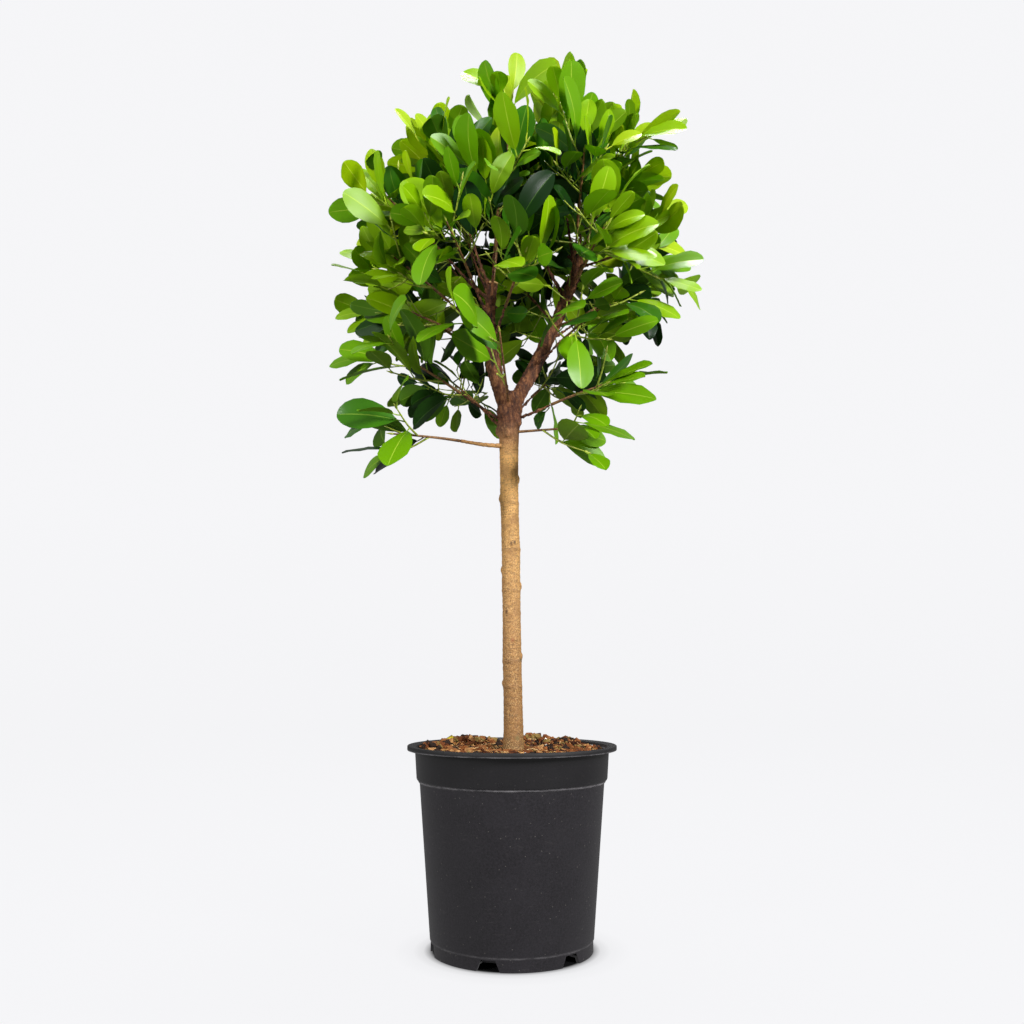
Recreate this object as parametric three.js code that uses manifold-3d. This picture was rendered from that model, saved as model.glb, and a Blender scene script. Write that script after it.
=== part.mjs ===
// A small-leaved fig grown as a standard: one bare stem under an open round head, in a black nursery pot.
// Millimetres, +Z up. The origin is on the floor under the middle of the pot, and -Y is the front.
import * as THREE from "three";
import { mergeVertices } from "three/addons/utils/BufferGeometryUtils.js";
import Module from "manifold-3d";

const wasm = await Module();
wasm.setup();

// Pot: a turned shell with a turned-down lip, a ledge under its upper band and a notched foot ring.
const potHeight = 176.7;
const lipRadius = 95;
const lipDrop = 5.5;
const wallThickness = 1.7;
const bandTopRadius = 88;
const bandFootRadius = 86.3;
const ledgeHeight = 147.5;
const ledgeDrop = 2.5;
const wallTopRadius = 83.4;
const wallFootRadius = 72.6;
const footHeight = 10;
const footRadius = 71.8;
const footThickness = 3.5;
const floorHeight = 4.5;
const floorThickness = 2;
const potSides = 32;
const notchCount = 6;
const notchTurn = -16;
const notchWidth = 17;
const notchFlare = 2;
const notchReach = 12;
const lipEdge = 1.5;
const rimEdge = 1;
const innerStep = 1;
const gap = 0.3;

// Soil: heaped to just under the lip, level round the stem, with low humps further out.
const soilTop = 171.2;
const soilHump = 2.2;
const soilRise = 2;
const soilRings = 2;
const soilFlatRadius = 13;
const soilFade = 20;
const soilClearance = 0.36;
const soilStep = 1.5;
const humpWidth = 15;
const humpDepth = 12;
const rippleWidth = 8;
const rippleDepth = 9;
const rippleShare = 0.6;

// Stem: nearly even in width, flared at the soil and swollen just under its fork.
const trunkFoot = new THREE.Vector3(1.4, 0, soilTop + gap);
const trunkTop = new THREE.Vector3(-3, 0, 501);
const trunkRadius = 8.7;
const flareExtra = 1.2;
const flareHeight = 26;
const collarHeight = 485;
const collarExtra = 2.4;
const collarSpread = 17;
const trunkRings = 14;
const trunkSides = 10;
const leaderSides = 8;
const boughSides = 5;
const leaderRings = 4;
const boughRings = 2;

// Twigs are three-sided and taper from the stem of a spray to the tips of its shoots. A pair of values is
// the least and the most of a size that varies from one twig or leaf to the next.
const stemRadius = 1.5;
const shootRadius = 1.05;
const twigTipRadius = 0.65;
const stemRings = 3;
const elbowShare = 0.4;
const seatGap = 0.5;
const shootRings = 2;
const shootsPerSpray = 4;
const firstShoot = 0.34;
const lastShoot = 0.86;
const shootSeat = 2.4;
const shootLength = [33, 55];
const shootSpread = [38.4, 57.6];
const shootLift = 22;
const steepest = 88;
const shootMargin = 2;
const shootGap = 2.5;
const goldenTurn = 137.5;
const internode = 10;
const leafyFromOnStem = 0.45;
const leafyFromOnShoot = 0.15;

// Leaves are blunt ovals, widest past the middle, on short stalks. The youngest, at the tip of a shoot, are
// the smallest and the closest to it.
const leafLength = [40, 60];
const youngLength = 0.62;
const leafWidthShare = [0.54, 0.66];
const bladeShift = 1.45;
const leafArch = [8, 42];
const leafAngle = [39, 65];
const youngAngle = 0.45;
const stalkLength = 9;
const stalkHalfWidth = 0.75;
const rootDepth = 0.4;
const bladeRows = [
  { share: 0.34, keel: 1.4 },
  { share: 0.78, keel: 0.8 },
];
const faceUp = 0.5;
const faceOut = 0.5;
const faceStray = 0.8;
const leafTries = 12;
const leafGap = 4.5;
const limbGap = 4;
const spaceMargin = 1.1;

// Leaders: name, share of the way up the trunk, heading (degrees from +X towards +Y), rise, bend (the rise
// that it gains along its length), length, radius at its foot and at its tip.
const leaderRows = [
  ["left_leader", 0.96, 180, 66, 34, 132, 9, 5.2],
  ["right_leader", 0.96, 31, 58, 12, 205, 8, 5.6],
];

// Boughs: each goes part of the way from its limb to the heart of its mass of leaves, rising as it goes.
const boughReach = 0.44;
const boughBend = 12;
const boughTipRadius = 1.6;
const boughTaper = 0.014;

// Pruned stubs: the limb that they stand on, share of the way along it, heading, rise, length, radius.
const stubRows = [
  ["right_leader", 0.97, -25, 52, 19, 2.6],
  ["right_leader", 0.91, 165, 44, 15, 2.3],
  ["right_leader", 0.84, -95, 38, 14, 2.2],
  ["right_leader", 0.74, -30, 34, 13, 2.1],
  ["left_leader", 0.78, 25, 40, 11, 1.9],
];

// Masses of leaves that a bough carries: name, the limb that the bough leaves, share of the way along it,
// then the heart of the mass (bearing round the middle of the pot, distance out, height) and its seed.
const carriedRows = [
  ["bottom_left_low", "trunk", 0.86, -155, 118, 455, 277],
  ["bottom_back_left", "trunk", 0.9, 125, 112, 545, 380],
  ["bottom_left", "trunk", 0.925, -157, 114, 532, 163],
  ["bottom_right", "trunk", 0.935, -26, 96, 504, 45],
  ["bottom_back", "trunk", 0.95, 65, 115, 555, 190],
  ["lower_left", "left_leader", 0.5, -166, 108, 583, 300],
  ["lower_left_back", "left_leader", 0.42, 152, 125, 615, 395],
  ["mid_left", "left_leader", 0.6, -155, 121, 623, 211],
  ["mid_front", "left_leader", 0.52, -84, 112, 602, 273],
  ["upper_left_front", "left_leader", 0.72, -121, 113, 637, 170],
  ["mid_left_back", "left_leader", 0.68, 135, 125, 705, 231],
  ["upper_front", "left_leader", 0.8, -97, 82, 691, 158],
  ["upper_left_far", "left_leader", 0.86, -165, 125, 693, 312],
  ["upper_left_back", "left_leader", 0.88, 140, 102, 775, 6],
  ["upper_left", "left_leader", 0.93, -164, 72, 745, 410],
  ["lower_right_front", "right_leader", 0.3, -55, 112, 547, 150],
  ["lower_right_back", "right_leader", 0.44, 30, 138, 640, 321],
  ["mid_right_front", "right_leader", 0.6, -50, 127, 632, 52],
  ["mid_back", "right_leader", 0.56, 90, 125, 670, 35],
  ["top_back", "right_leader", 0.7, 95, 90, 770, 224],
  ["upper_right_front", "right_leader", 0.8, -45, 95, 719, 138],
  ["mid_right_back", "right_leader", 0.8, 50, 138, 735, 395],
  ["top_right", "right_leader", 0.86, 21, 46, 798, 120],
  ["mid_right", "right_leader", 0.9, -13, 126, 640, 282],
  ["upper_right_back", "right_leader", 0.94, 50, 115, 800, 102],
];

// Masses whose own stem leaves a leader or the trunk, with the same columns.
const directRows = [
  ["top_left", "left_leader", 1, -100, 8, 795, 29],
  ["upper_right", "right_leader", 1, 2, 111, 759, 336],
  ["lower_right", "right_leader", 0.52, -19, 99, 584, 259],
  ["lower_front", "trunk", 0.975, -96, 104, 533, 418],
  ["bottom_right_low", "trunk", 0.9, -25, 71, 466, 325],
];

const radians = THREE.MathUtils.degToRad;
const up = new THREE.Vector3(0, 0, 1);

// A stream of even random numbers from 0 to 1, the same on every run.
function seeded(seed) {
  let state = Math.imul(seed, 2654435761) >>> 0;
  return () => {
    state = (Math.imul(state, 1664525) + 1013904223) >>> 0;
    return state / 4294967296;
  };
}

function between([least, most], random) {
  return least + (most - least) * random();
}

function aim(heading, rise) {
  const level = Math.cos(radians(rise));
  return new THREE.Vector3(
    Math.cos(radians(heading)) * level,
    Math.sin(radians(heading)) * level,
    Math.sin(radians(rise)),
  );
}

// The heading and the rise of a direction, in degrees.
function bearingOf(direction) {
  const level = Math.hypot(direction.x, direction.y);
  const heading = THREE.MathUtils.radToDeg(Math.atan2(direction.y, direction.x));
  return { heading, rise: THREE.MathUtils.radToDeg(Math.atan2(direction.z, level)) };
}

function across(direction, turn) {
  const reference = Math.abs(direction.z) > 0.95 ? new THREE.Vector3(1, 0, 0) : up;
  const side = new THREE.Vector3().crossVectors(reference, direction).normalize();
  return side.applyAxisAngle(direction, radians(turn));
}

function pointAlong(points, share) {
  const place = share * (points.length - 1);
  const index = Math.min(Math.floor(place), points.length - 2);
  return points[index].clone().lerp(points[index + 1], place - index);
}

function directionAlong(points, share) {
  const index = Math.min(Math.floor(share * (points.length - 1)), points.length - 2);
  return points[index + 1].clone().sub(points[index]).normalize();
}

// An axis that sets out along a heading and a rise, and gains its bend in rise along its length.
function bentAxis(start, heading, rise, bend, length, rings) {
  const points = [start.clone()];
  for (let ring = 0; ring < rings; ring += 1) {
    const step = aim(heading, rise + (bend * (ring + 0.5)) / rings).multiplyScalar(length / rings);
    points.push(points[ring].clone().add(step));
  }
  return points;
}

// A closed mesh through rings of points, each ring with as many points as the next, capped at both ends.
// A ring of one point closes that end as a tip.
function skin(rings) {
  const corners = [];
  const faces = [];
  const starts = rings.map((ring) => {
    const start = corners.length / 3;
    ring.forEach((point) => corners.push(point.x, point.y, point.z));
    return start;
  });
  for (let level = 0; level + 1 < rings.length; level += 1) {
    const [low, high] = [starts[level], starts[level + 1]];
    const [below, above] = [rings[level].length, rings[level + 1].length];
    const count = Math.max(below, above);
    for (let side = 0; side < count; side += 1) {
      const next = (side + 1) % count;
      if (below > 1) {
        faces.push(low + side, low + next, above > 1 ? high + next : high);
      }
      if (above > 1) {
        faces.push(below > 1 ? low + side : low, high + next, high + side);
      }
    }
  }
  const [first, last] = [starts[0], starts.at(-1)];
  for (let side = 1; side + 1 < rings[0].length; side += 1) {
    faces.push(first, first + side + 1, first + side);
  }
  for (let side = 1; side + 1 < rings.at(-1).length; side += 1) {
    faces.push(last, last + side, last + side + 1);
  }
  const geometry = new THREE.BufferGeometry();
  geometry.setAttribute("position", new THREE.Float32BufferAttribute(corners, 3));
  geometry.setIndex(faces);
  return geometry;
}

// Rings round the points of an axis, kept from twisting as it bends.
function ringsAlong(points, radiusAt, sides) {
  let reach = across(directionAlong(points, 0), 0);
  return points.map((point, index) => {
    const before = points[Math.max(index - 1, 0)];
    const after = points[Math.min(index + 1, points.length - 1)];
    const direction = after.clone().sub(before).normalize();
    reach = reach.clone().addScaledVector(direction, -reach.dot(direction)).normalize();
    const radius = radiusAt(index / (points.length - 1));
    return Array.from({ length: sides }, (_, side) => {
      const spoke = reach.clone().applyAxisAngle(direction, (side / sides) * Math.PI * 2);
      return spoke.multiplyScalar(radius).add(point);
    });
  });
}

// A three-sided twig. A shoot starts as a point sunk in the stem that it leaves.
function twigShape({ points, base, tip, sunk }) {
  const rings = ringsAlong(points, (share) => base + (tip - base) * share, 3);
  if (sunk) {
    const onward = directionAlong(points, 0);
    rings[0].forEach((point) => point.addScaledVector(onward, shootSeat));
    rings.unshift([points[0].clone().addScaledVector(onward, -rootDepth)]);
  }
  return solid(skin(rings));
}

function solid(geometry) {
  const bare = geometry.clone();
  bare.deleteAttribute("normal");
  bare.deleteAttribute("uv");
  const merged = mergeVertices(bare, 1e-4);
  const vertProperties = merged.attributes.position.array;
  const triVerts = new Uint32Array(merged.index.array);
  return new wasm.Manifold(new wasm.Mesh({ numProp: 3, vertProperties, triVerts }));
}

// The largest body of a solid with any sealed hollow filled and loose scraps dropped.
function mainBody(shape) {
  const bodies = shape.decompose();
  return bodies.reduce((best, body) => (body.volume() > best.volume() ? body : best));
}

function meshOf(name, shape, material) {
  const { vertProperties, triVerts } = shape.getMesh();
  const geometry = new THREE.BufferGeometry();
  geometry.setAttribute("position", new THREE.BufferAttribute(vertProperties, 3));
  geometry.setIndex(new THREE.BufferAttribute(triVerts, 1));
  geometry.computeVertexNormals();
  const mesh = new THREE.Mesh(geometry, material);
  mesh.name = name;
  return mesh;
}

// The pot's section from the middle of its floor out, over the lip and back down inside.
function potSection() {
  const shelf = floorHeight + floorThickness;
  const inner = (radius) => radius - wallThickness;
  return [
    [0, floorHeight],
    [footRadius - footThickness, floorHeight],
    [footRadius - footThickness, 0],
    [footRadius, 0],
    [footRadius, footHeight],
    [wallFootRadius, footHeight + innerStep],
    [wallTopRadius, ledgeHeight - ledgeDrop],
    [bandFootRadius, ledgeHeight],
    [bandTopRadius, potHeight - lipDrop],
    [lipRadius, potHeight - lipDrop],
    [lipRadius, potHeight - lipEdge],
    [lipRadius - lipEdge, potHeight],
    [inner(bandTopRadius), potHeight - rimEdge],
    [inner(bandFootRadius), ledgeHeight + innerStep],
    [inner(wallTopRadius), ledgeHeight - ledgeDrop],
    [inner(wallFootRadius), shelf],
    [0, shelf],
  ].map(([radius, height]) => new THREE.Vector2(radius, height));
}

function lathe(section) {
  const geometry = new THREE.LatheGeometry(section, potSides);
  return solid(geometry.rotateX(Math.PI / 2));
}

// One notch of the foot ring: wider at the floor, cut in through the ring and the edge of the pot's floor.
function notch(index) {
  const half = notchWidth / 2;
  const outline = new THREE.Shape([
    new THREE.Vector2(-half - notchFlare, -notchFlare),
    new THREE.Vector2(half + notchFlare, -notchFlare),
    new THREE.Vector2(half, footHeight - innerStep),
    new THREE.Vector2(-half, footHeight - innerStep),
  ]);
  const depth = footThickness + notchReach;
  const cutter = new THREE.ExtrudeGeometry(outline, { depth, bevelEnabled: false });
  cutter.rotateX(Math.PI / 2);
  cutter.translate(0, depth - footRadius - notchFlare, 0);
  cutter.rotateZ(radians(notchTurn + (index * 360) / notchCount));
  return solid(cutter);
}

function makePot() {
  let pot = lathe(potSection());
  for (let index = 0; index < notchCount; index += 1) {
    pot = pot.subtract(notch(index));
  }
  return mainBody(pot);
}

// The height of the soil: level round the stem and humped beyond it.
function soilHeight(x, y) {
  const fade = THREE.MathUtils.clamp((Math.hypot(x, y) - soilFlatRadius) / soilFade, 0, 1);
  const humps = Math.sin(x / humpWidth + 0.8) * Math.cos(y / humpDepth + 0.4);
  const ripples = rippleShare * Math.sin(x / rippleWidth - y / rippleDepth);
  return soilTop + fade * (soilHump * (humps + ripples) + soilRise * (y / bandTopRadius));
}

function makeSoil() {
  const edge = wallThickness + soilClearance;
  const ring = (radius, height) =>
    Array.from({ length: potSides }, (_, side) => {
      const turn = (side / potSides) * Math.PI * 2;
      const [x, y] = [radius * Math.sin(turn), -radius * Math.cos(turn)];
      return new THREE.Vector3(x, y, height ?? soilHeight(x, y));
    });
  const topRadius = bandTopRadius - edge - gap * 2;
  const flat = ring(soilFlatRadius);
  const rings = [
    ring(wallFootRadius - edge, floorHeight + floorThickness + gap),
    ring(wallTopRadius - edge, ledgeHeight - ledgeDrop),
    ring(bandFootRadius - edge, ledgeHeight + soilStep),
    ...Array.from({ length: soilRings }, (_, index) =>
      ring(topRadius + ((soilFlatRadius - topRadius) * index) / soilRings),
    ),
    flat,
  ];
  return solid(skin(rings));
}

function trunkRadiusAt(share) {
  const height = trunkFoot.z + share * (trunkTop.z - trunkFoot.z);
  const flare = flareExtra * Math.exp(-(height - trunkFoot.z) / flareHeight);
  const collar = collarExtra * Math.exp(-(((height - collarHeight) / collarSpread) ** 2));
  return trunkRadius + flare + collar;
}

function heartAt(bearing, out, height) {
  return new THREE.Vector3(out * Math.cos(radians(bearing)), out * Math.sin(radians(bearing)), height);
}

function taperedLimb(axis, foot, tip) {
  return { axis, radiusAt: (share) => foot + (tip - foot) * share };
}

// Every limb by name: its axis and its radius along it, from the trunk out.
function growLimbs() {
  const trunkAxis = Array.from({ length: trunkRings + 1 }, (_, ring) =>
    trunkFoot.clone().lerp(trunkTop, ring / trunkRings),
  );
  const limbs = new Map([["trunk", { axis: trunkAxis, radiusAt: trunkRadiusAt }]]);
  for (const [name, at, heading, rise, bend, length, foot, tip] of leaderRows) {
    const axis = bentAxis(pointAlong(trunkAxis, at), heading, rise, bend, length, leaderRings);
    limbs.set(name, taperedLimb(axis, foot, tip));
  }
  for (const [name, limb, at, bearing, out, height] of carriedRows) {
    const start = pointAlong(limbs.get(limb).axis, at);
    const way = heartAt(bearing, out, height).sub(start);
    const length = way.length() * boughReach;
    const { heading, rise } = bearingOf(way);
    const axis = bentAxis(start, heading, rise - boughBend / 2, boughBend, length, boughRings);
    limbs.set(`bough_${name}`, taperedLimb(axis, boughTipRadius + boughTaper * length, boughTipRadius));
  }
  return limbs;
}

const limbs = growLimbs();

function sidesOf(name) {
  if (name === "trunk") return trunkSides;
  return name.endsWith("leader") ? leaderSides : boughSides;
}

function limbShape(name, extra) {
  const { axis, radiusAt } = limbs.get(name);
  return solid(skin(ringsAlong(axis, (share) => radiusAt(share) + extra, sidesOf(name))));
}

// Each pruned stub starts on the axis of its limb and ends in a flat cut.
const stubs = stubRows.map(([limb, at, heading, rise, length, radius]) => {
  const start = pointAlong(limbs.get(limb).axis, at);
  return { limb, radius, axis: bentAxis(start, heading, rise, 0, length, 1) };
});

// A limb is cut back to a seat on its parent, and clear of the trunk and the leaders that stand before it.
function makeLimb(name) {
  const names = [...limbs.keys()];
  const before = names.slice(0, names.indexOf(name));
  const stout = before.filter((other) => other === "trunk" || other.endsWith("leader"));
  const cutBy = (shape, other) => shape.subtract(limbShape(other, gap));
  const bare = stout.reduce(cutBy, limbShape(name, 0));
  const cut = stubs.filter(({ limb }) => limb === name);
  return mainBody(cut.reduce((shape, stub) => shape.add(stubShape(stub)), bare));
}

function stubShape({ axis, radius }) {
  return solid(skin(ringsAlong(axis, () => radius, boughSides)));
}

// The line from the foot of each mass to its heart. A point is in the space of the mass whose line is the
// nearest. A mass at the end of a limb sets out the way that the limb ends.
function makeMass(name, limb, at, heart, seed) {
  const { axis } = limbs.get(limb);
  const foot = pointAlong(axis, at);
  const onward = directionAlong(axis, at);
  if (at === 1) {
    foot.addScaledVector(onward, seatGap);
  }
  const way = heart.clone().sub(foot);
  const outward = at === 1 ? onward : way.clone().normalize();
  const line = new THREE.Line3(foot, heart);
  return { name, limb, at, foot, heart, outward, reach: way.length(), seed, line };
}

const masses = [
  ...carriedRows.map(([name, , , bearing, out, height, seed]) =>
    makeMass(`leaves_${name}`, `bough_${name}`, 1, heartAt(bearing, out, height), seed),
  ),
  ...directRows.map(([name, limb, at, bearing, out, height, seed]) =>
    makeMass(`leaves_${name}`, limb, at, heartAt(bearing, out, height), seed),
  ),
];

const nearest = new THREE.Vector3();

function distanceToLine(point, line) {
  return line.closestPointToPoint(point, true, nearest).distanceTo(point);
}

function inSpace(point, mass, margin) {
  const own = distanceToLine(point, mass.line) + margin * 2;
  return masses.every((other) => other === mass || distanceToLine(point, other.line) > own);
}

// Each limb as a row of straight lines with a radius, for telling how near a leaf comes.
const limbLines = [...limbs].flatMap(([name, { axis, radiusAt }]) =>
  axis.slice(1).map((end, index) => {
    const radius = radiusAt(index / (axis.length - 1));
    return { name, line: new THREE.Line3(axis[index], end), radius };
  }),
);
stubs.forEach(({ limb, axis, radius }) => {
  limbLines.push({ name: limb, line: new THREE.Line3(...axis), radius });
});

function clearOfLimbs(point, room, spared) {
  return limbLines.every(
    ({ name, line, radius }) => name === spared || distanceToLine(point, line) > radius + room,
  );
}

// A point on the midrib, the face's normal there and the half width of the blade there.
function leafFrame(leaf, share) {
  const turn = leaf.arch * share;
  const bendRadius = leaf.length / leaf.arch;
  const point = leaf.root.clone().addScaledVector(leaf.direction, stalkLength);
  point.addScaledVector(leaf.direction, bendRadius * Math.sin(turn));
  point.addScaledVector(leaf.normal, bendRadius * (Math.cos(turn) - 1));
  const normal = leaf.normal.clone().multiplyScalar(Math.cos(turn));
  normal.addScaledVector(leaf.direction, Math.sin(turn));
  const rounded = share ** bladeShift;
  const halfWidth = leaf.width * Math.sqrt(rounded * (1 - rounded));
  return { point, normal, halfWidth: Math.max(stalkHalfWidth, halfWidth) };
}

// Points over the stalk and the blade, close enough together to find anything that the leaf would touch.
function leafSamples(leaf) {
  const samples = [leafFrame(leaf, 1).point];
  for (const share of [0.1, 0.3, 0.5, 0.7, 0.9]) {
    const { point, halfWidth } = leafFrame(leaf, share);
    for (const offset of [-1, -0.33, 0.33, 1]) {
      samples.push(point.clone().addScaledVector(leaf.side, offset * halfWidth));
    }
  }
  return samples;
}

// A leaf widens from a root point sunk in its twig through two three-point rows to its tip. Each row is one
// edge, the keel of the midrib and the other edge.
function leafShape(leaf) {
  const rows = bladeRows.map(({ share, keel }) => {
    const { point, normal, halfWidth } = leafFrame(leaf, share);
    return [
      point.clone().addScaledVector(leaf.side, halfWidth),
      point.clone().addScaledVector(normal, -keel),
      point.clone().addScaledVector(leaf.side, -halfWidth),
    ];
  });
  const root = leaf.root.clone().addScaledVector(leaf.direction, -rootDepth);
  return solid(skin([[root], ...rows, [leafFrame(leaf, 1).point]]));
}

function makeLeaf(root, twigDirection, turn, age, random) {
  const grown = (young) => young + (1 - young) * age;
  const open = radians(between(leafAngle, random) * grown(youngAngle));
  const direction = twigDirection.clone().multiplyScalar(Math.cos(open));
  direction.addScaledVector(across(twigDirection, turn), Math.sin(open)).normalize();
  const facing = new THREE.Vector3(root.x, root.y, 0).normalize().multiplyScalar(faceOut);
  facing.z += faceUp;
  for (const axis of ["x", "y", "z"]) {
    facing[axis] += between([-faceStray, faceStray], random);
  }
  const normal = facing.addScaledVector(direction, -facing.dot(direction)).normalize();
  const length = between(leafLength, random) * grown(youngLength);
  return {
    root,
    direction,
    normal,
    side: new THREE.Vector3().crossVectors(direction, normal),
    length,
    width: length * between(leafWidthShare, random),
    arch: radians(between(leafArch, random)),
  };
}

// Leaves spiral up a shoot. One that would leave the space, touch a limb or cross another leaf is turned
// round the shoot until it fits, and is left out if it doesn't.
function addLeaves(spray, shoot, firstShare, mass, random) {
  const length = shoot.length * (1 - firstShare);
  const count = Math.max(2, Math.round(length / internode));
  let turn = random() * 360;
  for (let index = 0; index < count; index += 1) {
    const share = firstShare + ((1 - firstShare) * (index + 1)) / count;
    const root = pointAlong(shoot.points, share);
    const twigDirection = directionAlong(shoot.points, share);
    const age = 1 - index / count;
    for (let tries = 0; tries < leafTries; tries += 1) {
      const leaf = makeLeaf(root, twigDirection, turn, age, random);
      const samples = leafSamples(leaf);
      turn += tries === 0 ? goldenTurn : 360 / leafTries;
      const fits = samples.every(
        (point) => inSpace(point, mass, spaceMargin) && clearOfLimbs(point, limbGap, ""),
      );
      if (fits && spray.leaves.every((other) => apart(samples, other.samples))) {
        spray.leaves.push({ ...leaf, samples });
        break;
      }
    }
  }
}

function apart(samples, others) {
  const nearSquare = leafGap * leafGap;
  return samples.every((point) => others.every((other) => point.distanceToSquared(other) > nearSquare));
}

// The twigs and leaves of one mass: a stem from its foot to its heart, and shoots that leave it in a spiral.
function growSpray(mass) {
  const random = seeded(mass.seed);
  const elbow = mass.foot.clone().addScaledVector(mass.outward, mass.reach * elbowShare);
  const curve = new THREE.QuadraticBezierCurve3(mass.foot, elbow, mass.heart);
  const points = curve.getPoints(stemRings);
  const stem = { points, length: mass.reach, base: stemRadius, tip: twigTipRadius, sunk: false };
  const shoots = [];
  const firstTurn = random() * 360;
  for (let index = 0; index < shootsPerSpray; index += 1) {
    const share = firstShoot + ((lastShoot - firstShoot) * index) / (shootsPerSpray - 1);
    const onward = directionAlong(stem.points, share);
    const spread = radians(between(shootSpread, random));
    const direction = onward.clone().multiplyScalar(Math.cos(spread));
    direction.addScaledVector(across(onward, firstTurn + index * goldenTurn), Math.sin(spread));
    const length = between(shootLength, random);
    const { heading, rise } = bearingOf(direction);
    const lift = Math.min(shootLift, steepest - rise);
    const axis = bentAxis(pointAlong(stem.points, share), heading, rise, lift, length, shootRings);
    const fits = axis
      .slice(1)
      .every((point) => inSpace(point, mass, shootMargin) && clearOfLimbs(point, shootGap, mass.limb));
    if (fits) {
      shoots.push({ points: axis, length, base: shootRadius, tip: twigTipRadius, sunk: true });
    }
  }
  const spray = { twigs: [stem, ...shoots], leaves: [] };
  shoots.forEach((shoot) => addLeaves(spray, shoot, leafyFromOnShoot, mass, random));
  addLeaves(spray, stem, leafyFromOnStem, mass, random);
  return spray;
}

function makeSpray(mass) {
  const spray = growSpray(mass);
  const shape = wasm.Manifold.union([...spray.twigs.map(twigShape), ...spray.leaves.map(leafShape)]);
  return mainBody(mass.at < 1 ? shape.subtract(limbShape(mass.limb, gap)) : shape);
}

const blackPlastic = new THREE.MeshStandardMaterial({ color: "#333235", roughness: 0.5, metalness: 0 });
const barkChips = new THREE.MeshStandardMaterial({ color: "#76502f", roughness: 1, metalness: 0 });
const paleBark = new THREE.MeshStandardMaterial({ color: "#cd9f65", roughness: 0.85, metalness: 0 });
const darkBark = new THREE.MeshStandardMaterial({ color: "#74492c", roughness: 0.9, metalness: 0 });
const leafGreen = new THREE.MeshStandardMaterial({ color: "#4f9a1c", roughness: 0.45, metalness: 0 });

const plant = new THREE.Group();
plant.add(meshOf("pot", makePot(), blackPlastic));
plant.add(meshOf("soil", makeSoil(), barkChips));
for (const name of limbs.keys()) {
  plant.add(meshOf(name, makeLimb(name), name === "trunk" ? paleBark : darkBark));
}
for (const mass of masses) {
  plant.add(meshOf(mass.name, makeSpray(mass), leafGreen));
}

export default plant;
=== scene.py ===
# A small-leaved fig grown as a standard, in a black nursery pot, in a pale studio.
import math

import bpy
import numpy as np
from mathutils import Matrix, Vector


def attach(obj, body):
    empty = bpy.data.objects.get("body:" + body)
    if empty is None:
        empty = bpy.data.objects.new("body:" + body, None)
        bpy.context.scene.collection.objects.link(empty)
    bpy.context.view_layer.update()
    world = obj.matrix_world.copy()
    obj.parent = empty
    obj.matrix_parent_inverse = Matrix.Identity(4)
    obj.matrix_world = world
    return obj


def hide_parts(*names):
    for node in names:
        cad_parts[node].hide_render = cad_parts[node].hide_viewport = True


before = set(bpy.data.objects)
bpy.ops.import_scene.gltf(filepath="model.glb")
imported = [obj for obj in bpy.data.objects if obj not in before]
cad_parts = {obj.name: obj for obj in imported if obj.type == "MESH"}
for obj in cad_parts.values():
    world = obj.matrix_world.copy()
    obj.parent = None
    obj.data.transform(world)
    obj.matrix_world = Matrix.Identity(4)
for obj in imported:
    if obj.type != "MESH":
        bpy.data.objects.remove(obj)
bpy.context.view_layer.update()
mm = 0.001


def linear(hexColor):
    shares = [int(hexColor[at:at + 2], 16) / 255 for at in (1, 3, 5)]
    return [s / 12.92 if s <= 0.04045 else ((s + 0.055) / 1.055) ** 2.4 for s in shares] + [1.0]


def newMaterial(name):
    material = bpy.data.materials.new(name)
    material.use_nodes = True
    material.node_tree.nodes.clear()
    return material, material.node_tree


def addNode(tree, kind, inputs, output=0):
    # a value goes to the input of its name or number, or else to the node's own setting of that name;
    # another node's output is linked, and colours are written as in a picture
    node = tree.nodes.new("ShaderNode" + kind)
    for key, value in inputs.items():
        if not isinstance(key, int) and key not in node.inputs:
            setattr(node, key, value)
        elif isinstance(value, bpy.types.NodeSocket):
            tree.links.new(value, node.inputs[key])
        else:
            node.inputs[key].default_value = linear(value) if isinstance(value, str) else value
    return node.outputs[output] if node.outputs else None


def addRamp(tree, source, stops):
    ramp = tree.nodes.new("ShaderNodeValToRGB")
    tree.links.new(source, ramp.inputs["Fac"])
    elements = ramp.color_ramp.elements
    while len(elements) < len(stops):
        elements.new(0.5)
    for element, (position, color) in zip(elements, stops):
        element.position = position
        element.color = linear(color) if isinstance(color, str) else [color] * 3 + [1.0]
    return ramp.outputs["Color"]


def mixColors(tree, share, low, high, blend="MIX"):
    return addNode(tree, "Mix", {"data_type": "RGBA", "blend_type": blend, 0: share, 6: low, 7: high}, 2)


def addLayers(tree, color, layers):
    # each layer lays its tint over the colour where its pattern, through its ramp, says so
    for pattern, stops, tint in layers:
        color = mixColors(tree, addRamp(tree, pattern, stops), color, tint)
    return color


def objectPlace(tree):
    return addNode(tree, "TexCoord", {}, "Object")


def heightOf(tree, place):
    return addNode(tree, "SeparateXYZ", {0: place}, "Z")


def addNoise(tree, place, size, detail, roughness=0.5):
    # size is that of the grain, in millimetres
    return addNode(tree, "TexNoise", {
        "Scale": 1 / (size * mm), "Detail": detail, "Roughness": roughness, "Vector": place}, "Fac")


def addCells(tree, place, size):
    return addNode(tree, "TexVoronoi", {"Scale": 1 / (size * mm), "Vector": place}, "Distance")


def stretched(tree, place, scale):
    return addNode(tree, "Mapping", {"Scale": scale, "Vector": place})


def addMath(tree, operation, *values):
    return addNode(tree, "Math", {"operation": operation, **dict(enumerate(values))})


def rescale(tree, value, before=(0.0, 1.0), after=(0.0, 1.0)):
    return addNode(tree, "MapRange", {
        "From Min": before[0], "From Max": before[1], "To Min": after[0], "To Max": after[1], "Value": value})


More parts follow.
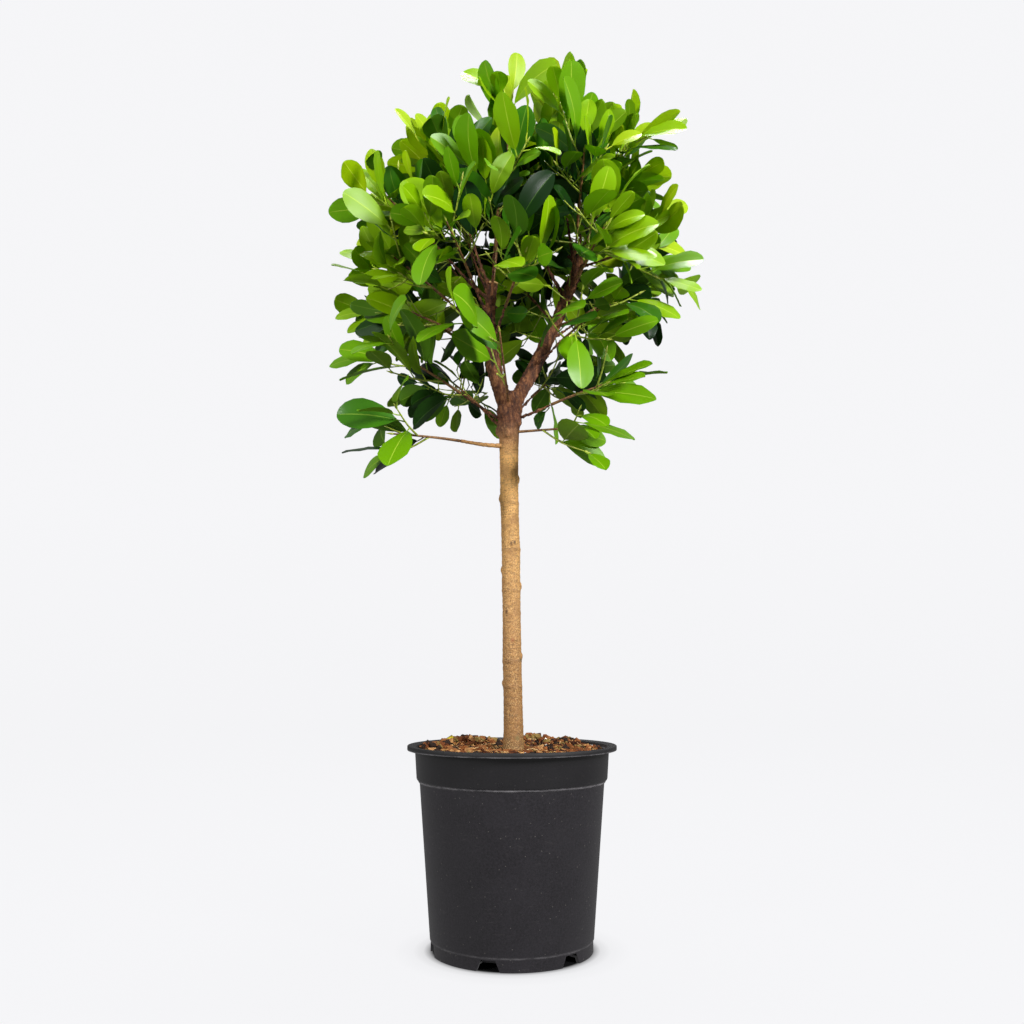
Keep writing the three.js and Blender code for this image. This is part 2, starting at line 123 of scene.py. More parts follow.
def addBump(tree, height, strength, distance, inputs=None):
    # distance is the relief's depth, in millimetres
    return addNode(tree, "Bump", {"Strength": strength, "Distance": distance * mm, "Height": height, **(inputs or {})})


def addSurface(tree, inputs):
    addNode(tree, "OutputMaterial", {"Surface": addNode(tree, "BsdfPrincipled", inputs)})


def activate(*pieces):
    # these pieces alone are selected, and the first one is active
    if bpy.context.object and bpy.context.object.mode != "OBJECT":
        bpy.ops.object.mode_set(mode="OBJECT")
    bpy.ops.object.select_all(action="DESELECT")
    for piece in pieces:
        piece.select_set(True)
    if pieces:
        bpy.context.view_layer.objects.active = pieces[0]


def applyPlace(piece):
    activate(piece)
    bpy.ops.object.transform_apply(location=True, rotation=True, scale=True)


def applyModifiers(piece):
    activate(piece)
    for modifier in list(piece.modifiers):
        bpy.ops.object.modifier_apply(modifier=modifier.name)


def addModifier(piece, kind, **settings):
    modifier = piece.modifiers.new(kind.lower(), kind)
    for key, value in settings.items():
        setattr(modifier, key, value)


def joinPieces(pieces, name):
    activate(*pieces)
    bpy.ops.object.join()
    pieces[0].name = name
    pieces[0].data.name = name
    return pieces[0]


def shadeByAngle(piece, angle):
    activate(piece)
    bpy.ops.object.shade_smooth_by_angle(angle=math.radians(angle))


def selectOpenEdge():
    bpy.ops.object.mode_set(mode="EDIT")
    bpy.ops.mesh.select_mode(type="EDGE")
    bpy.ops.mesh.select_all(action="DESELECT")
    bpy.ops.mesh.select_non_manifold()


def drawOut(step):
    bpy.ops.mesh.extrude_region_move(TRANSFORM_OT_translate={"value": step})


def startDisc(name, sides, radius, place, turn=(0, 0, 0)):
    # a disc whose edge is ready to be drawn out
    activate()
    bpy.ops.mesh.primitive_circle_add(
        vertices=sides, radius=radius * mm, fill_type="TRIFAN", location=place, rotation=turn)
    piece = bpy.context.active_object
    piece.name = name
    applyPlace(piece)
    selectOpenEdge()
    return piece


def closeToPoint():
    drawOut((0, 0, 0))
    bpy.ops.mesh.merge(type="CENTER")
    bpy.ops.mesh.select_all(action="SELECT")
    bpy.ops.mesh.normals_make_consistent(inside=False)
    bpy.ops.object.mode_set(mode="OBJECT")


# Camera: as far off and as high as the photograph's, turned up by its pitch, with a 35 mm lens.
cameraPlan = {"distance": 933.5, "height": 246.8, "pitch": 8.79, "lens": 35.16, "sensor": 36, "nearest": 50}


def makeCamera():
    p = cameraPlan
    lens = bpy.data.cameras.new("studioCamera")
    lens.lens = p["lens"]
    lens.sensor_width = p["sensor"]
    lens.clip_start = p["nearest"] * mm
    camera = bpy.data.objects.new("studioCamera", lens)
    camera.location = (0, -p["distance"] * mm, p["height"] * mm)
    camera.rotation_euler = (math.radians(90 + p["pitch"]), 0, 0)
    bpy.context.scene.collection.objects.link(camera)
    bpy.context.scene.camera = camera


# Studio, in metres: a pale round sweep that only the camera sees, an even sky round it, and three soft lights.
studioPlan = {
    "skyColor": "#f9f9f9",
    # how bright the sky is by height of its direction: below, level, above
    "sky": [(0.0, 0.46), (0.38, 0.30), (0.56, 0.25), (1.0, 0.62)],
    "sweepColor": "#161617",
    "sweepGlow": "#f6f6f8",
    # how much the sweep glows on the floor and 1 m up
    "glow": (0.975, 0.992),
    # painted contact shadow: how much of the glow is left by distance from the pot's middle, as a share of the reach
    "paintedShadowReach": 0.15,
    "paintedShadow": [(0.0, 0.0), (0.463, 0.0), (0.487, 0.45), (0.52, 0.84), (0.58, 0.96), (0.70, 1.0)],
    "sweepSides": 96,
    "sweepRadius": 3.2,
    "sweepRound": 1.2,
    "roundSteps": 16,
    "sweepHeight": 4.0,
    "lightsAimAt": (0, 0, 0.5),
    "lights": [
        # name, place, size, watts
        ("leftLight", (-1.45, -1.35, 1.0), 0.6, 36),
        ("rightLight", (1.45, -1.4, 1.25), 0.6, 80),
        ("topLight", (0.15, 0.4, 2.3), 0.7, 70),
    ],
}


def makeSky():
    world = bpy.data.worlds.new("studioSky")
    bpy.context.scene.world = world
    world.use_nodes = True
    tree = world.node_tree
    tree.nodes.clear()
    height = heightOf(tree, addNode(tree, "TexCoord", {}, "Generated"))
    strength = addRamp(tree, rescale(tree, height, (-1.0, 1.0)), studioPlan["sky"])
    sky = addNode(tree, "Background", {"Color": studioPlan["skyColor"], "Strength": strength})
    addNode(tree, "OutputWorld", {"Surface": sky})


def sweepMaterial():
    # painted sweep: it glows evenly, and less under and round the foot of the pot, a painted contact shadow where
    # little light gets in
    p = studioPlan
    material, tree = newMaterial("paintedSweep")
    place = objectPlace(tree)
    level = addNode(tree, "VectorMath", {"operation": "MULTIPLY", 0: place, 1: (1.0, 1.0, 0.0)})
    radius = addNode(tree, "VectorMath", {"operation": "LENGTH", 0: level}, "Value")
    # painted contact shadow: the glow is cut down round the pot's foot
    paintedShadow = addRamp(tree, rescale(tree, radius, (0.0, p["paintedShadowReach"])), p["paintedShadow"])
    glow = rescale(tree, heightOf(tree, place), after=p["glow"])
    addSurface(tree, {
        "Base Color": p["sweepColor"], "Roughness": 0.9, "Specular IOR Level": 0.0,
        "Emission Color": p["sweepGlow"], "Emission Strength": addMath(tree, "MULTIPLY", paintedShadow, glow)})
    return material


def makeSweep():
    # a disc whose edge is drawn up all round through a quarter round
    p = studioPlan
    activate()
    bpy.ops.mesh.primitive_circle_add(vertices=p["sweepSides"], radius=p["sweepRadius"], fill_type="NGON")
    sweep = bpy.context.active_object
    sweep.name = "studioSweep"
    selectOpenEdge()
    radius = p["sweepRadius"]
    run = p["sweepRound"] * math.pi / 2 / p["roundSteps"]
    for step in range(p["roundSteps"]):
        turn = (step + 0.5) / p["roundSteps"] * math.pi / 2
        drawOut((0, 0, run * math.sin(turn)))
        grow = (radius + run * math.cos(turn)) / radius
        bpy.ops.transform.resize(value=(grow, grow, 1), center_override=(0, 0, 0))
        radius *= grow
    drawOut((0, 0, p["sweepHeight"]))
    bpy.ops.mesh.select_all(action="SELECT")
    bpy.ops.mesh.normals_make_consistent(inside=True)
    bpy.ops.object.mode_set(mode="OBJECT")
    bpy.ops.object.shade_smooth()
    sweep.data.materials.append(sweepMaterial())
    # the plant is lit by the sky and the lights alone
    sweep.visible_diffuse = False
    sweep.visible_glossy = False
    sweep.visible_transmission = False
    sweep.visible_shadow = False


def makeStudio():
    makeSky()
    for name, place, size, watts in studioPlan["lights"]:
        light = bpy.data.lights.new(name, "AREA")
        light.shape = "DISK"
        light.size = size
        light.energy = watts
        lamp = bpy.data.objects.new(name, light)
        lamp.location = place
        lamp.rotation_euler = (Vector(studioPlan["lightsAimAt"]) - Vector(place)).to_track_quat("-Z", "Y").to_euler()
        lamp.visible_camera = False
        bpy.context.scene.collection.objects.link(lamp)
    makeSweep()
    bpy.context.scene.view_settings.view_transform = "Standard"


makeCamera()
makeStudio()
print("stage: camera, sweep and lights")


# Pot: injection-moulded polypropylene, turned from its section. Millimetres, radius then height.
potPlan = {
    "sides": 144,
    "floorRadius": 66.0,
    "floorHeight": 4.5,
    "footInner": 68.3,
    "footRadius": 71.8,
    "footHeight": 10.0,
    "footStep": (0.4, 0.9),
    "wallFoot": 72.6,
    "wallTop": 83.4,
    "ledge": 147.5,
    "bandFoot": 86.3,
    "bandTop": 88.0,
    "lipUnder": 172.4,
    "lipRadius": 95.0,
    "lipRoll": 0.9,
    "rollSteps": 5,
    "lipFlat": 2.0,
    "height": 176.7,
    "wall": 1.7,
    "shelf": 6.5,
    # how far inside the wall the ledge's bend lies over and under its height
    "insideBend": (1.0, 2.6),
    # short steps of the section, out and up: under the ledge from the wall's top, at the band's foot from the
    # ledge, under the lip from its edge, and along the top of the lip from the band
    "ledgeSteps": [(0.0, -3.4), (0.9, -3.0), (1.3, -2.3), (1.3, -1.5)],
    "bandSteps": [(-0.5, -0.7), (0.0, 0.6)],
    "underSteps": [(-1.3, 0.4), (-0.9, 0.0), (-0.2, 0.2), (0.0, 0.7)],
    "topSteps": [(1.0, -0.5), (-1.1, -1.0)],
    "notches": 6,
    "notchTurn": -16,
    "notchWidth": 12.6,
    "notchFlare": 4.8,
    "notchHeight": 9.0,
    "notchDepth": 22.0,
    "notchSink": 1,
    "edgeRound": 0.5,
    "sharpEdge": 50,
    "smoothTo": 32,
    # how far right, how high, radius and thickness
    "gateMark": (-9.5, 150.4, 1.9, 0.28),
}


def potSection():
    p = potPlan

    def stepsFrom(radius, height, steps):
        return [(radius + out, height + up) for out, up in steps]
    section = [(p["floorRadius"], p["floorHeight"]), (p["footInner"], p["floorHeight"]), (p["footInner"], 0.0),
               (p["footRadius"], 0.0), (p["footRadius"], p["footHeight"] - p["footStep"][0]),
               (p["wallFoot"], p["footHeight"] + p["footStep"][1])]
    section += stepsFrom(p["wallTop"], p["ledge"], p["ledgeSteps"])
    section += stepsFrom(p["bandFoot"], p["ledge"], p["bandSteps"])
    section.append((p["bandTop"], p["lipUnder"]))
    section += stepsFrom(p["lipRadius"], p["lipUnder"], p["underSteps"])
    roll = p["lipRoll"]
    for step in range(p["rollSteps"] + 1):
        turn = math.radians(90 * step / p["rollSteps"])
        section.append((p["lipRadius"] - roll + roll * math.cos(turn), p["height"] - roll + roll * math.sin(turn)))
    section.append((p["lipRadius"] - p["lipFlat"], p["height"]))
    section += stepsFrom(p["bandTop"], p["height"], p["topSteps"])
    # down the inside of the wall
    over, under = p["insideBend"]
    inside = [("bandTop", p["height"] - (p["height"] - p["lipUnder"]) / 2), ("bandFoot", p["ledge"] + over),
              ("wallTop", p["ledge"] - under), ("wallFoot", p["shelf"])]
    return section + [(p[radius] - p["wall"], height) for radius, height in inside]


def turnSection(name, section, sides):
    # a disc whose edge is drawn out along the section, ring by ring, and closed to a point at its end
    radius, height = section[0]
    piece = startDisc(name, sides, radius, (0, 0, height * mm))
    for nextRadius, nextHeight in section[1:]:
        drawOut((0, 0, (nextHeight - height) * mm))
        grow = nextRadius / radius
        bpy.ops.transform.resize(value=(grow, grow, 1), center_override=(0, 0, nextHeight * mm))
        radius, height = nextRadius, nextHeight
    closeToPoint()
    return piece


def makeNotchCutter(index):
    # a box through the foot ring, wider at its underside
    p = potPlan
    activate()
    middle = p["notchHeight"] / 2 * mm - p["notchSink"] * mm
    bpy.ops.mesh.primitive_cube_add(size=1, location=(0, -p["footRadius"] * mm, middle))
    cutter = bpy.context.active_object
    cutter.scale = (p["notchWidth"] * mm, p["notchDepth"] * mm, (p["notchHeight"] + 2 * p["notchSink"]) * mm)
    applyPlace(cutter)
    bpy.ops.object.mode_set(mode="EDIT")
    bpy.ops.mesh.select_mode(type="FACE")
    bpy.ops.mesh.select_all(action="DESELECT")
    bpy.ops.object.mode_set(mode="OBJECT")
    for face in cutter.data.polygons:
        face.select = face.normal.z < -0.9
    bpy.ops.object.mode_set(mode="EDIT")
    flare = (p["notchWidth"] + 2 * p["notchFlare"]) / p["notchWidth"]
    bpy.ops.transform.resize(value=(flare, 1, 1), center_override=(0, -p["footRadius"] * mm, 0))
    bpy.ops.object.mode_set(mode="OBJECT")
    cutter.rotation_euler.z = math.radians(p["notchTurn"] + index * 360 / p["notches"])
    applyPlace(cutter)
    return cutter


def polypropyleneMaterial():
    # polypropylene, injection moulded: near-black, a fine satin with a slight sheen and dry dust in its scuffs
    p = potPlan
    material, tree = newMaterial("mouldedPolypropylene")
    place = objectPlace(tree)
    cloud = addNoise(tree, place, 38, 4.0)
    # scuffs run round the pot, so the pattern is drawn out flat
    scuff = addNoise(tree, stretched(tree, place, (0.25, 0.25, 1.0)), 3.2, 6.0, 0.75)
    flecked = addLayers(tree, "#100e12", [
        (cloud, [(0.35, 0.0), (0.7, 1.0)], "#19171b"),
        (addNoise(tree, place, 1.7, 5.0, 0.7), [(0.36, 0.0), (0.68, 1.0)], "#232025"),
        (scuff, [(0.60, 0.0), (0.72, 0.28)], "#4a4746"),
        (addCells(tree, place, 5.5), [(0.06, 0.35), (0.10, 0.0)], "#77726c"),
    ])
    # by height: the band over the ledge is cleaner and darker than the wall, its darkness partly painted shade from the
    # lip, and it is painted near black as shade just under the lip, with the lip itself darkened; the foot, ledge and
    # lip have pale lines along their edges
    share = rescale(tree, heightOf(tree, place), (0.0, p["height"] * mm))
    ledge, lip, foot = p["ledge"] / p["height"], p["lipUnder"] / p["height"], p["footHeight"] / p["height"]
    # painted shade: near black under the lip, and the band and lip darkened partly as shade
    cleanAndShade = addRamp(tree, share, [(ledge - 0.012, 1.0), (ledge, 0.30), (lip - 0.05, 0.28), (lip - 0.02, 0.04),
                                  (lip - 0.002, 0.05), (lip + 0.01, 0.1), (0.99, 0.1), (1.0, 0.15)])
    cleanedAndShaded = mixColors(tree, cleanAndShade, "#080709", flecked)
    # pale edge lines: wear at the foot, a painted highlight along the ledge, and wear specks with a painted highlight
    # at the lip's lower edge
    wearAndHighlight = addRamp(tree, share, [(foot, 0.0), (foot + 0.006, 0.35), (foot + 0.012, 0.0), (ledge - 0.021, 0.0),
                                 (ledge - 0.013, 0.8), (ledge - 0.006, 0.0), (lip - 0.002, 0.0), (lip + 0.001, 1.0),
                                 (lip + 0.006, 0.0)])
    wearAndHighlightNoise = addRamp(tree, scuff, [(0.38, 0.15), (0.62, 1.0)])
    wornAndHighlit = mixColors(tree, addMath(tree, "MULTIPLY", wearAndHighlight, wearAndHighlightNoise), cleanedAndShaded, "#868386")
    # the lip's upper side is rubbed dull
    rubbed = addRamp(tree, share, [(0.985, 0.0), (0.998, 0.34)])
    roughness = addMath(tree, "ADD", rescale(tree, cloud, after=(0.38, 0.54)), rubbed)
    addSurface(tree, {"IOR": 1.49, "Base Color": wornAndHighlit, "Roughness": roughness,
                      "Normal": addBump(tree, addNoise(tree, place, 0.9, 3.0), 0.35, 0.15)})
    return material


def makePot():
    p = potPlan
    pot = turnSection("nurseryPot", potSection(), p["sides"])
    cutter = joinPieces([makeNotchCutter(index) for index in range(p["notches"])], "notchCutter")
    addModifier(pot, "BOOLEAN", object=cutter, operation="DIFFERENCE", solver="EXACT")
    addModifier(pot, "BEVEL", width=p["edgeRound"] * mm, segments=2, limit_method="ANGLE",
                angle_limit=math.radians(p["sharpEdge"]))
    applyModifiers(pot)
    bpy.data.objects.remove(cutter)
    # a small plain ring where the plastic was let into the mould
    right, height, radius, thick = p["gateMark"]
    depth = p["bandFoot"] + (height - p["ledge"]) * (p["bandTop"] - p["bandFoot"]) / (p["lipUnder"] - p["ledge"])
    turn = math.asin(right / depth)
    activate()
    bpy.ops.mesh.primitive_torus_add(
        major_segments=20, minor_segments=6, major_radius=radius * mm, minor_radius=thick * mm,
        location=(right * mm, -depth * math.cos(turn) * mm, height * mm), rotation=(math.radians(90), 0, turn))
    mark = bpy.context.active_object
    applyPlace(mark)
    pot = joinPieces([pot, mark], "nurseryPot")
    shadeByAngle(pot, p["smoothTo"])
    pot.data.materials.append(polypropyleneMaterial())
    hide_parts("pot")
    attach(pot, "root")


makePot()
print("stage: pot")


# The plant's growing rule, in millimetres: the same named sizes as the solids.
def seeded(seed):
    state = (seed * 2654435761) & 0xFFFFFFFF

    def draw():
        nonlocal state
        state = (state * 1664525 + 1013904223) & 0xFFFFFFFF
        return state / 4294967296
    return draw


def between(pair, random):
    return pair[0] + (pair[1] - pair[0]) * random()


def unit(way):
    return way / np.linalg.norm(way)


def aim(heading, rise):
    level = math.cos(math.radians(rise))
    return np.array([math.cos(math.radians(heading)) * level, math.sin(math.radians(heading)) * level,
                     math.sin(math.radians(rise))])


def bearingOf(way):
    return (math.degrees(math.atan2(way[1], way[0])),
            math.degrees(math.atan2(way[2], math.hypot(way[0], way[1]))))


def across(way, turn):
    reference = np.array([1.0, 0, 0]) if abs(way[2]) > 0.95 else np.array([0, 0, 1.0])
    side = unit(np.cross(reference, way))
    angle = math.radians(turn)
    return side * math.cos(angle) + np.cross(way, side) * math.sin(angle)


def pointAlong(points, share):
    place = share * (len(points) - 1)
    index = min(int(place), len(points) - 2)
    return points[index] + (points[index + 1] - points[index]) * (place - index)


def directionAlong(points, share):
    index = min(int(share * (len(points) - 1)), len(points) - 2)
    return unit(points[index + 1] - points[index])


def bentAxis(start, heading, rise, bend, length, rings):
    points = [np.array(start, float)]
    for ring in range(rings):
        points.append(points[-1] + aim(heading, rise + bend * (ring + 0.5) / rings) * length / rings)
    return np.array(points)


def heartAt(bearing, out, height):
    return np.array([out * math.cos(math.radians(bearing)), out * math.sin(math.radians(bearing)), height])


limbPlan = {
    "trunkFoot": (1.4, 0.0, 171.5),
    "trunkTop": (-3.0, 0.0, 501.0),
    "trunkRadius": 8.7,
    "flareExtra": 1.2,
    "flareHeight": 26.0,
    "collarHeight": 485.0,
    "collarExtra": 2.4,
    "collarSpread": 17.0,
    "trunkRings": 14,
    "leaderRings": 4,
    "boughRings": 2,
    "boughReach": 0.44,
    "boughBend": 12,
    "boughTipRadius": 1.6,
    "boughTaper": 0.014,
    # name, share of the way up the trunk, heading, rise, bend, length, radius at foot and tip
    "leaders": [
        ("left_leader", 0.96, 180, 66, 34, 132, 9.0, 5.2),
        ("right_leader", 0.96, 31, 58, 12, 205, 8.0, 5.6),
    ],
    # limb, share of the way along it, heading, rise, length, radius
    "stubs": [
        ("right_leader", 0.97, -25, 52, 19, 2.6),
        ("right_leader", 0.91, 165, 44, 15, 2.3),
        ("right_leader", 0.84, -95, 38, 14, 2.2),
        ("right_leader", 0.74, -30, 34, 13, 2.1),
        ("left_leader", 0.78, 25, 40, 11, 1.9),
    ],
}

# Masses of leaves: name, limb, share of the way along it, then the heart of the mass (bearing, distance out,
# height), the seed of its twigs and the tone of its leaves; the tone is partly painted light and shade, paler for
# masses high up and in front, deeper for some low at the back.
crownPlan = {
    "carried": [
        ("bottom_left_low", "trunk", 0.86, -155, 118, 455, 277, "mid"),
        ("bottom_back_left", "trunk", 0.9, 125, 112, 545, 380, "deep"),
        ("bottom_left", "trunk", 0.925, -157, 114, 532, 163, "bright"),
        ("bottom_right", "trunk", 0.935, -26, 96, 504, 45, "mid"),
        ("bottom_back", "trunk", 0.95, 65, 115, 555, 190, "deep"),
        ("lower_left", "left_leader", 0.5, -166, 108, 583, 300, "mid"),
        ("lower_left_back", "left_leader", 0.42, 152, 125, 615, 395, "mid"),
        ("mid_left", "left_leader", 0.6, -155, 121, 623, 211, "bright"),
        ("mid_front", "left_leader", 0.52, -84, 112, 602, 273, "mid"),
        ("upper_left_front", "left_leader", 0.72, -121, 113, 637, 170, "bright"),
        ("mid_left_back", "left_leader", 0.68, 135, 125, 705, 231, "mid"),
        ("upper_front", "left_leader", 0.8, -97, 82, 691, 158, "bright"),
        ("upper_left_far", "left_leader", 0.86, -165, 125, 693, 312, "bright"),
        ("upper_left_back", "left_leader", 0.88, 140, 102, 775, 6, "bright"),
        ("upper_left", "left_leader", 0.93, -164, 72, 745, 410, "fresh"),
        ("lower_right_front", "right_leader", 0.3, -55, 112, 547, 150, "bright"),
        ("lower_right_back", "right_leader", 0.44, 30, 138, 640, 321, "deep"),
        ("mid_right_front", "right_leader", 0.6, -50, 127, 632, 52, "bright"),
        ("mid_back", "right_leader", 0.56, 90, 125, 670, 35, "mid"),
        ("top_back", "right_leader", 0.7, 95, 90, 770, 224, "bright"),
        ("upper_right_front", "right_leader", 0.8, -45, 95, 719, 138, "bright"),
        ("mid_right_back", "right_leader", 0.8, 50, 138, 735, 395, "bright"),
        ("top_right", "right_leader", 0.86, 21, 46, 798, 120, "fresh"),
        ("mid_right", "right_leader", 0.9, -13, 126, 640, 282, "bright"),
        ("upper_right_back", "right_leader", 0.94, 50, 115, 800, 102, "bright"),
    ],
    "direct": [
        ("top_left", "left_leader", 1, -100, 8, 795, 29, "fresh"),
        ("upper_right", "right_leader", 1, 2, 111, 759, 336, "bright"),
        ("lower_right", "right_leader", 0.52, -19, 99, 584, 259, "mid"),
        ("lower_front", "trunk", 0.975, -96, 104, 533, 418, "mid"),
        ("bottom_right_low", "trunk", 0.9, -25, 71, 466, 325, "bright"),
    ],
}

twigPlan = {
    "stemRadius": 1.5,
    "shootRadius": 1.05,
    "tipRadius": 0.65,
    "stemRings": 3,
    "elbowShare": 0.4,
    "seatGap": 0.5,
    "shootsPerSpray": 4,
    "firstShoot": 0.34,
    "lastShoot": 0.86,
    "goldenTurn": 137.5,
    "leafyFromOnStem": 0.45,
    "leafyFromOnShoot": 0.15,
    # how a shoot sets off
    "length": (33, 55),
    "spread": (38.4, 57.6),
    "lift": 22,
    "steepest": 88,
    "rings": 2,
    "twigMargin": 2,
    "twigGap": 2.5,
}

leafPlan = {
    "length": (40, 60),
    "youngLength": 0.62,
    "widthShare": (0.54, 0.66),
    "bladeShift": 1.45,
    "arch": (8, 42),
    "angle": (39, 65),
    "youngAngle": 0.45,
    "stalkLength": 9,
    "stalkHalfWidth": 0.75,
    "faceUp": 0.5,
    "faceOut": 0.5,
    "faceStray": 0.8,
    # where a leaf's room is tested: shares of its length, and of its half width
    "testShares": (0.1, 0.3, 0.5, 0.7, 0.9),
    "testColumns": (-1, -0.33, 0.33, 1),
    # how leaves stand along a twig
    "internode": 10,
    "ageing": 1.0,
    "tries": 12,
    "leafGap": 4.5,
    "limbGap": 4,
    "spaceMargin": 1.1,
}


def trunkRadiusAt(share):
    p = limbPlan
    foot, top = p["trunkFoot"][2], p["trunkTop"][2]
    height = foot + share * (top - foot)
    flare = p["flareExtra"] * math.exp(-(height - foot) / p["flareHeight"])
    collar = p["collarExtra"] * math.exp(-((height - p["collarHeight"]) / p["collarSpread"]) ** 2)
    return p["trunkRadius"] + flare + collar


def growLimbs():
    p = limbPlan
    foot, top = np.array(p["trunkFoot"]), np.array(p["trunkTop"])
    trunkAxis = np.array([foot + (top - foot) * ring / p["trunkRings"] for ring in range(p["trunkRings"] + 1)])
    limbs = {"trunk": {"axis": trunkAxis, "radiusAt": trunkRadiusAt}}

    def addLimb(name, axis, footRadius, tipRadius):
        limbs[name] = {"axis": axis, "radiusAt": lambda share: footRadius + (tipRadius - footRadius) * share}
    for name, at, heading, rise, bend, length, footRadius, tipRadius in p["leaders"]:
        start = pointAlong(trunkAxis, at)
        addLimb(name, bentAxis(start, heading, rise, bend, length, p["leaderRings"]), footRadius, tipRadius)
    for name, limb, at, bearing, out, height, seed, tone in crownPlan["carried"]:
        start = pointAlong(limbs[limb]["axis"], at)
        way = heartAt(bearing, out, height) - start
        length = np.linalg.norm(way) * p["boughReach"]
        heading, rise = bearingOf(way)
        axis = bentAxis(start, heading, rise - p["boughBend"] / 2, p["boughBend"], length, p["boughRings"])
        addLimb("bough_" + name, axis, p["boughTipRadius"] + p["boughTaper"] * length, p["boughTipRadius"])
    return limbs


limbs = growLimbs()
stubs = []
for limb, at, heading, rise, length, radius in limbPlan["stubs"]:
    stubAxis = bentAxis(pointAlong(limbs[limb]["axis"], at), heading, rise, 0, length, 1)
    stubs.append({"limb": limb, "axis": stubAxis, "radius": radius})

# every limb as straight lines with a radius
limbLines = []
for limbName, limb in limbs.items():
    lineCount = len(limb["axis"]) - 1
    for index in range(lineCount):
        limbLines.append((limbName, limb["axis"][index], limb["axis"][index + 1], limb["radiusAt"](index / lineCount)))
for stub in stubs:
    limbLines.append((stub["limb"], stub["axis"][0], stub["axis"][1], stub["radius"]))
limbNames = np.array([line[0] for line in limbLines])
limbStarts = np.array([line[1] for line in limbLines])
limbEnds = np.array([line[2] for line in limbLines])
limbRadii = np.array([line[3] for line in limbLines])


def makeMass(name, limb, at, heart, seed, tone):
    axis = limbs[limb]["axis"]
    foot = pointAlong(axis, at)
    onward = directionAlong(axis, at)
    if at == 1:
        foot = foot + onward * twigPlan["seatGap"]
    way = heart - foot
    outward = onward if at == 1 else unit(way)
    return {"name": name, "limb": limb, "foot": foot, "heart": heart, "outward": outward,
            "reach": np.linalg.norm(way), "seed": seed, "tone": tone}


masses = [makeMass("leaves_" + name, "bough_" + name, 1, heartAt(bearing, out, height), seed, tone)
          for name, limb, at, bearing, out, height, seed, tone in crownPlan["carried"]]
masses += [makeMass("leaves_" + name, limb, at, heartAt(bearing, out, height), seed, tone)
           for name, limb, at, bearing, out, height, seed, tone in crownPlan["direct"]]
massFeet = np.array([mass["foot"] for mass in masses])
massHearts = np.array([mass["heart"] for mass in masses])


def lineDistances(points, starts, ends):
    ways = ends - starts
    gaps = points[:, None, :] - starts[None]
    shares = np.clip((gaps * ways).sum(2) / (ways ** 2).sum(1), 0, 1)
    return np.linalg.norm(gaps - shares[..., None] * ways, axis=2)


def inSpace(points, index, margin):
    # nearer to its own mass's line than to any other's
    distances = lineDistances(points, massFeet, massHearts)
    own = distances[:, index] + margin * 2
    distances[:, index] = np.inf
    return bool((distances.min(1) > own).all())


def clearOfLimbs(points, room, spared):
    distances = lineDistances(points, limbStarts, limbEnds) - limbRadii - room
    return bool((distances[:, limbNames != spared] > 0).all())


def leafFrame(leaf, share):
    turn = leaf["arch"] * share
    bendRadius = leaf["length"] / leaf["arch"]
    point = leaf["root"] + leaf["direction"] * (leaf["stalk"] + bendRadius * math.sin(turn))
    point = point + leaf["normal"] * (bendRadius * (math.cos(turn) - 1))
    rounded = share ** leafPlan["bladeShift"]
    halfWidth = leaf["width"] * math.sqrt(rounded * (1 - rounded))
    return point, max(leafPlan["stalkHalfWidth"], halfWidth)


def leafSamples(leaf):
    samples = [leafFrame(leaf, 1)[0]]
    for share in leafPlan["testShares"]:
        point, halfWidth = leafFrame(leaf, share)
        samples += [point + leaf["side"] * (offset * halfWidth) for offset in leafPlan["testColumns"]]
    return np.array(samples)


def makeLeaf(root, twigDirection, turn, age, random):
    p = leafPlan
    opening = math.radians(between(p["angle"], random) * (p["youngAngle"] + (1 - p["youngAngle"]) * age))
    direction = unit(twigDirection * math.cos(opening) + across(twigDirection, turn) * math.sin(opening))
    facing = unit(np.array([root[0], root[1], 0.0])) * p["faceOut"]
    facing[2] += p["faceUp"]
    for axis in range(3):
        facing[axis] += between((-p["faceStray"], p["faceStray"]), random)
    normal = unit(facing - direction * facing.dot(direction))
    length = between(p["length"], random) * (p["youngLength"] + (1 - p["youngLength"]) * age)
    width = length * between(p["widthShare"], random)
    arch = math.radians(between(p["arch"], random))
    return {"root": root, "direction": direction, "normal": normal, "side": np.cross(direction, normal),
            "length": length, "width": width, "arch": arch, "stalk": p["stalkLength"], "age": age}


# Where the photograph sees the sky, or the two leaders, through the front of the crown.
skyPlan = {
    "seedStep": 55,
    # lines seen straight from the front (right, up; right, up; half width), kept open as far back as this depth
    "openings": [(-27, 618, -9, 520, 12), (72, 680, 40, 598, 11), (-9, 520, 0, 480, 24)],
    "openingDepth": -12,
    "lowest": 405,
    # behind the fork some of the leaves are left out
    "forkDepth": 15,
    "forkTop": 550,
    "forkHalfWidth": 80,
    "forkShare": 0.5,
    # in front of that depth more and more of them are left out downwards
    "thinTop": 600,
    "thinDrop": 260,
    "thinMost": 0.42,
    "thinHalfWidth": 118,
}


def inSky(leaf, random):
    p = skyPlan
    right, depth, height = leaf["samples"].mean(0)
    share = min(p["thinMost"], max(0, (p["thinTop"] - height) / p["thinDrop"]))
    hanging = leaf["samples"][:, 2].min() < p["lowest"]
    behindFork = height < p["forkTop"] and abs(right) < p["forkHalfWidth"] and depth > p["forkDepth"]
    if hanging or (behindFork and random() < p["forkShare"]):
        return True
    return random() < share and abs(right) < p["thinHalfWidth"] and depth < p["forkDepth"]


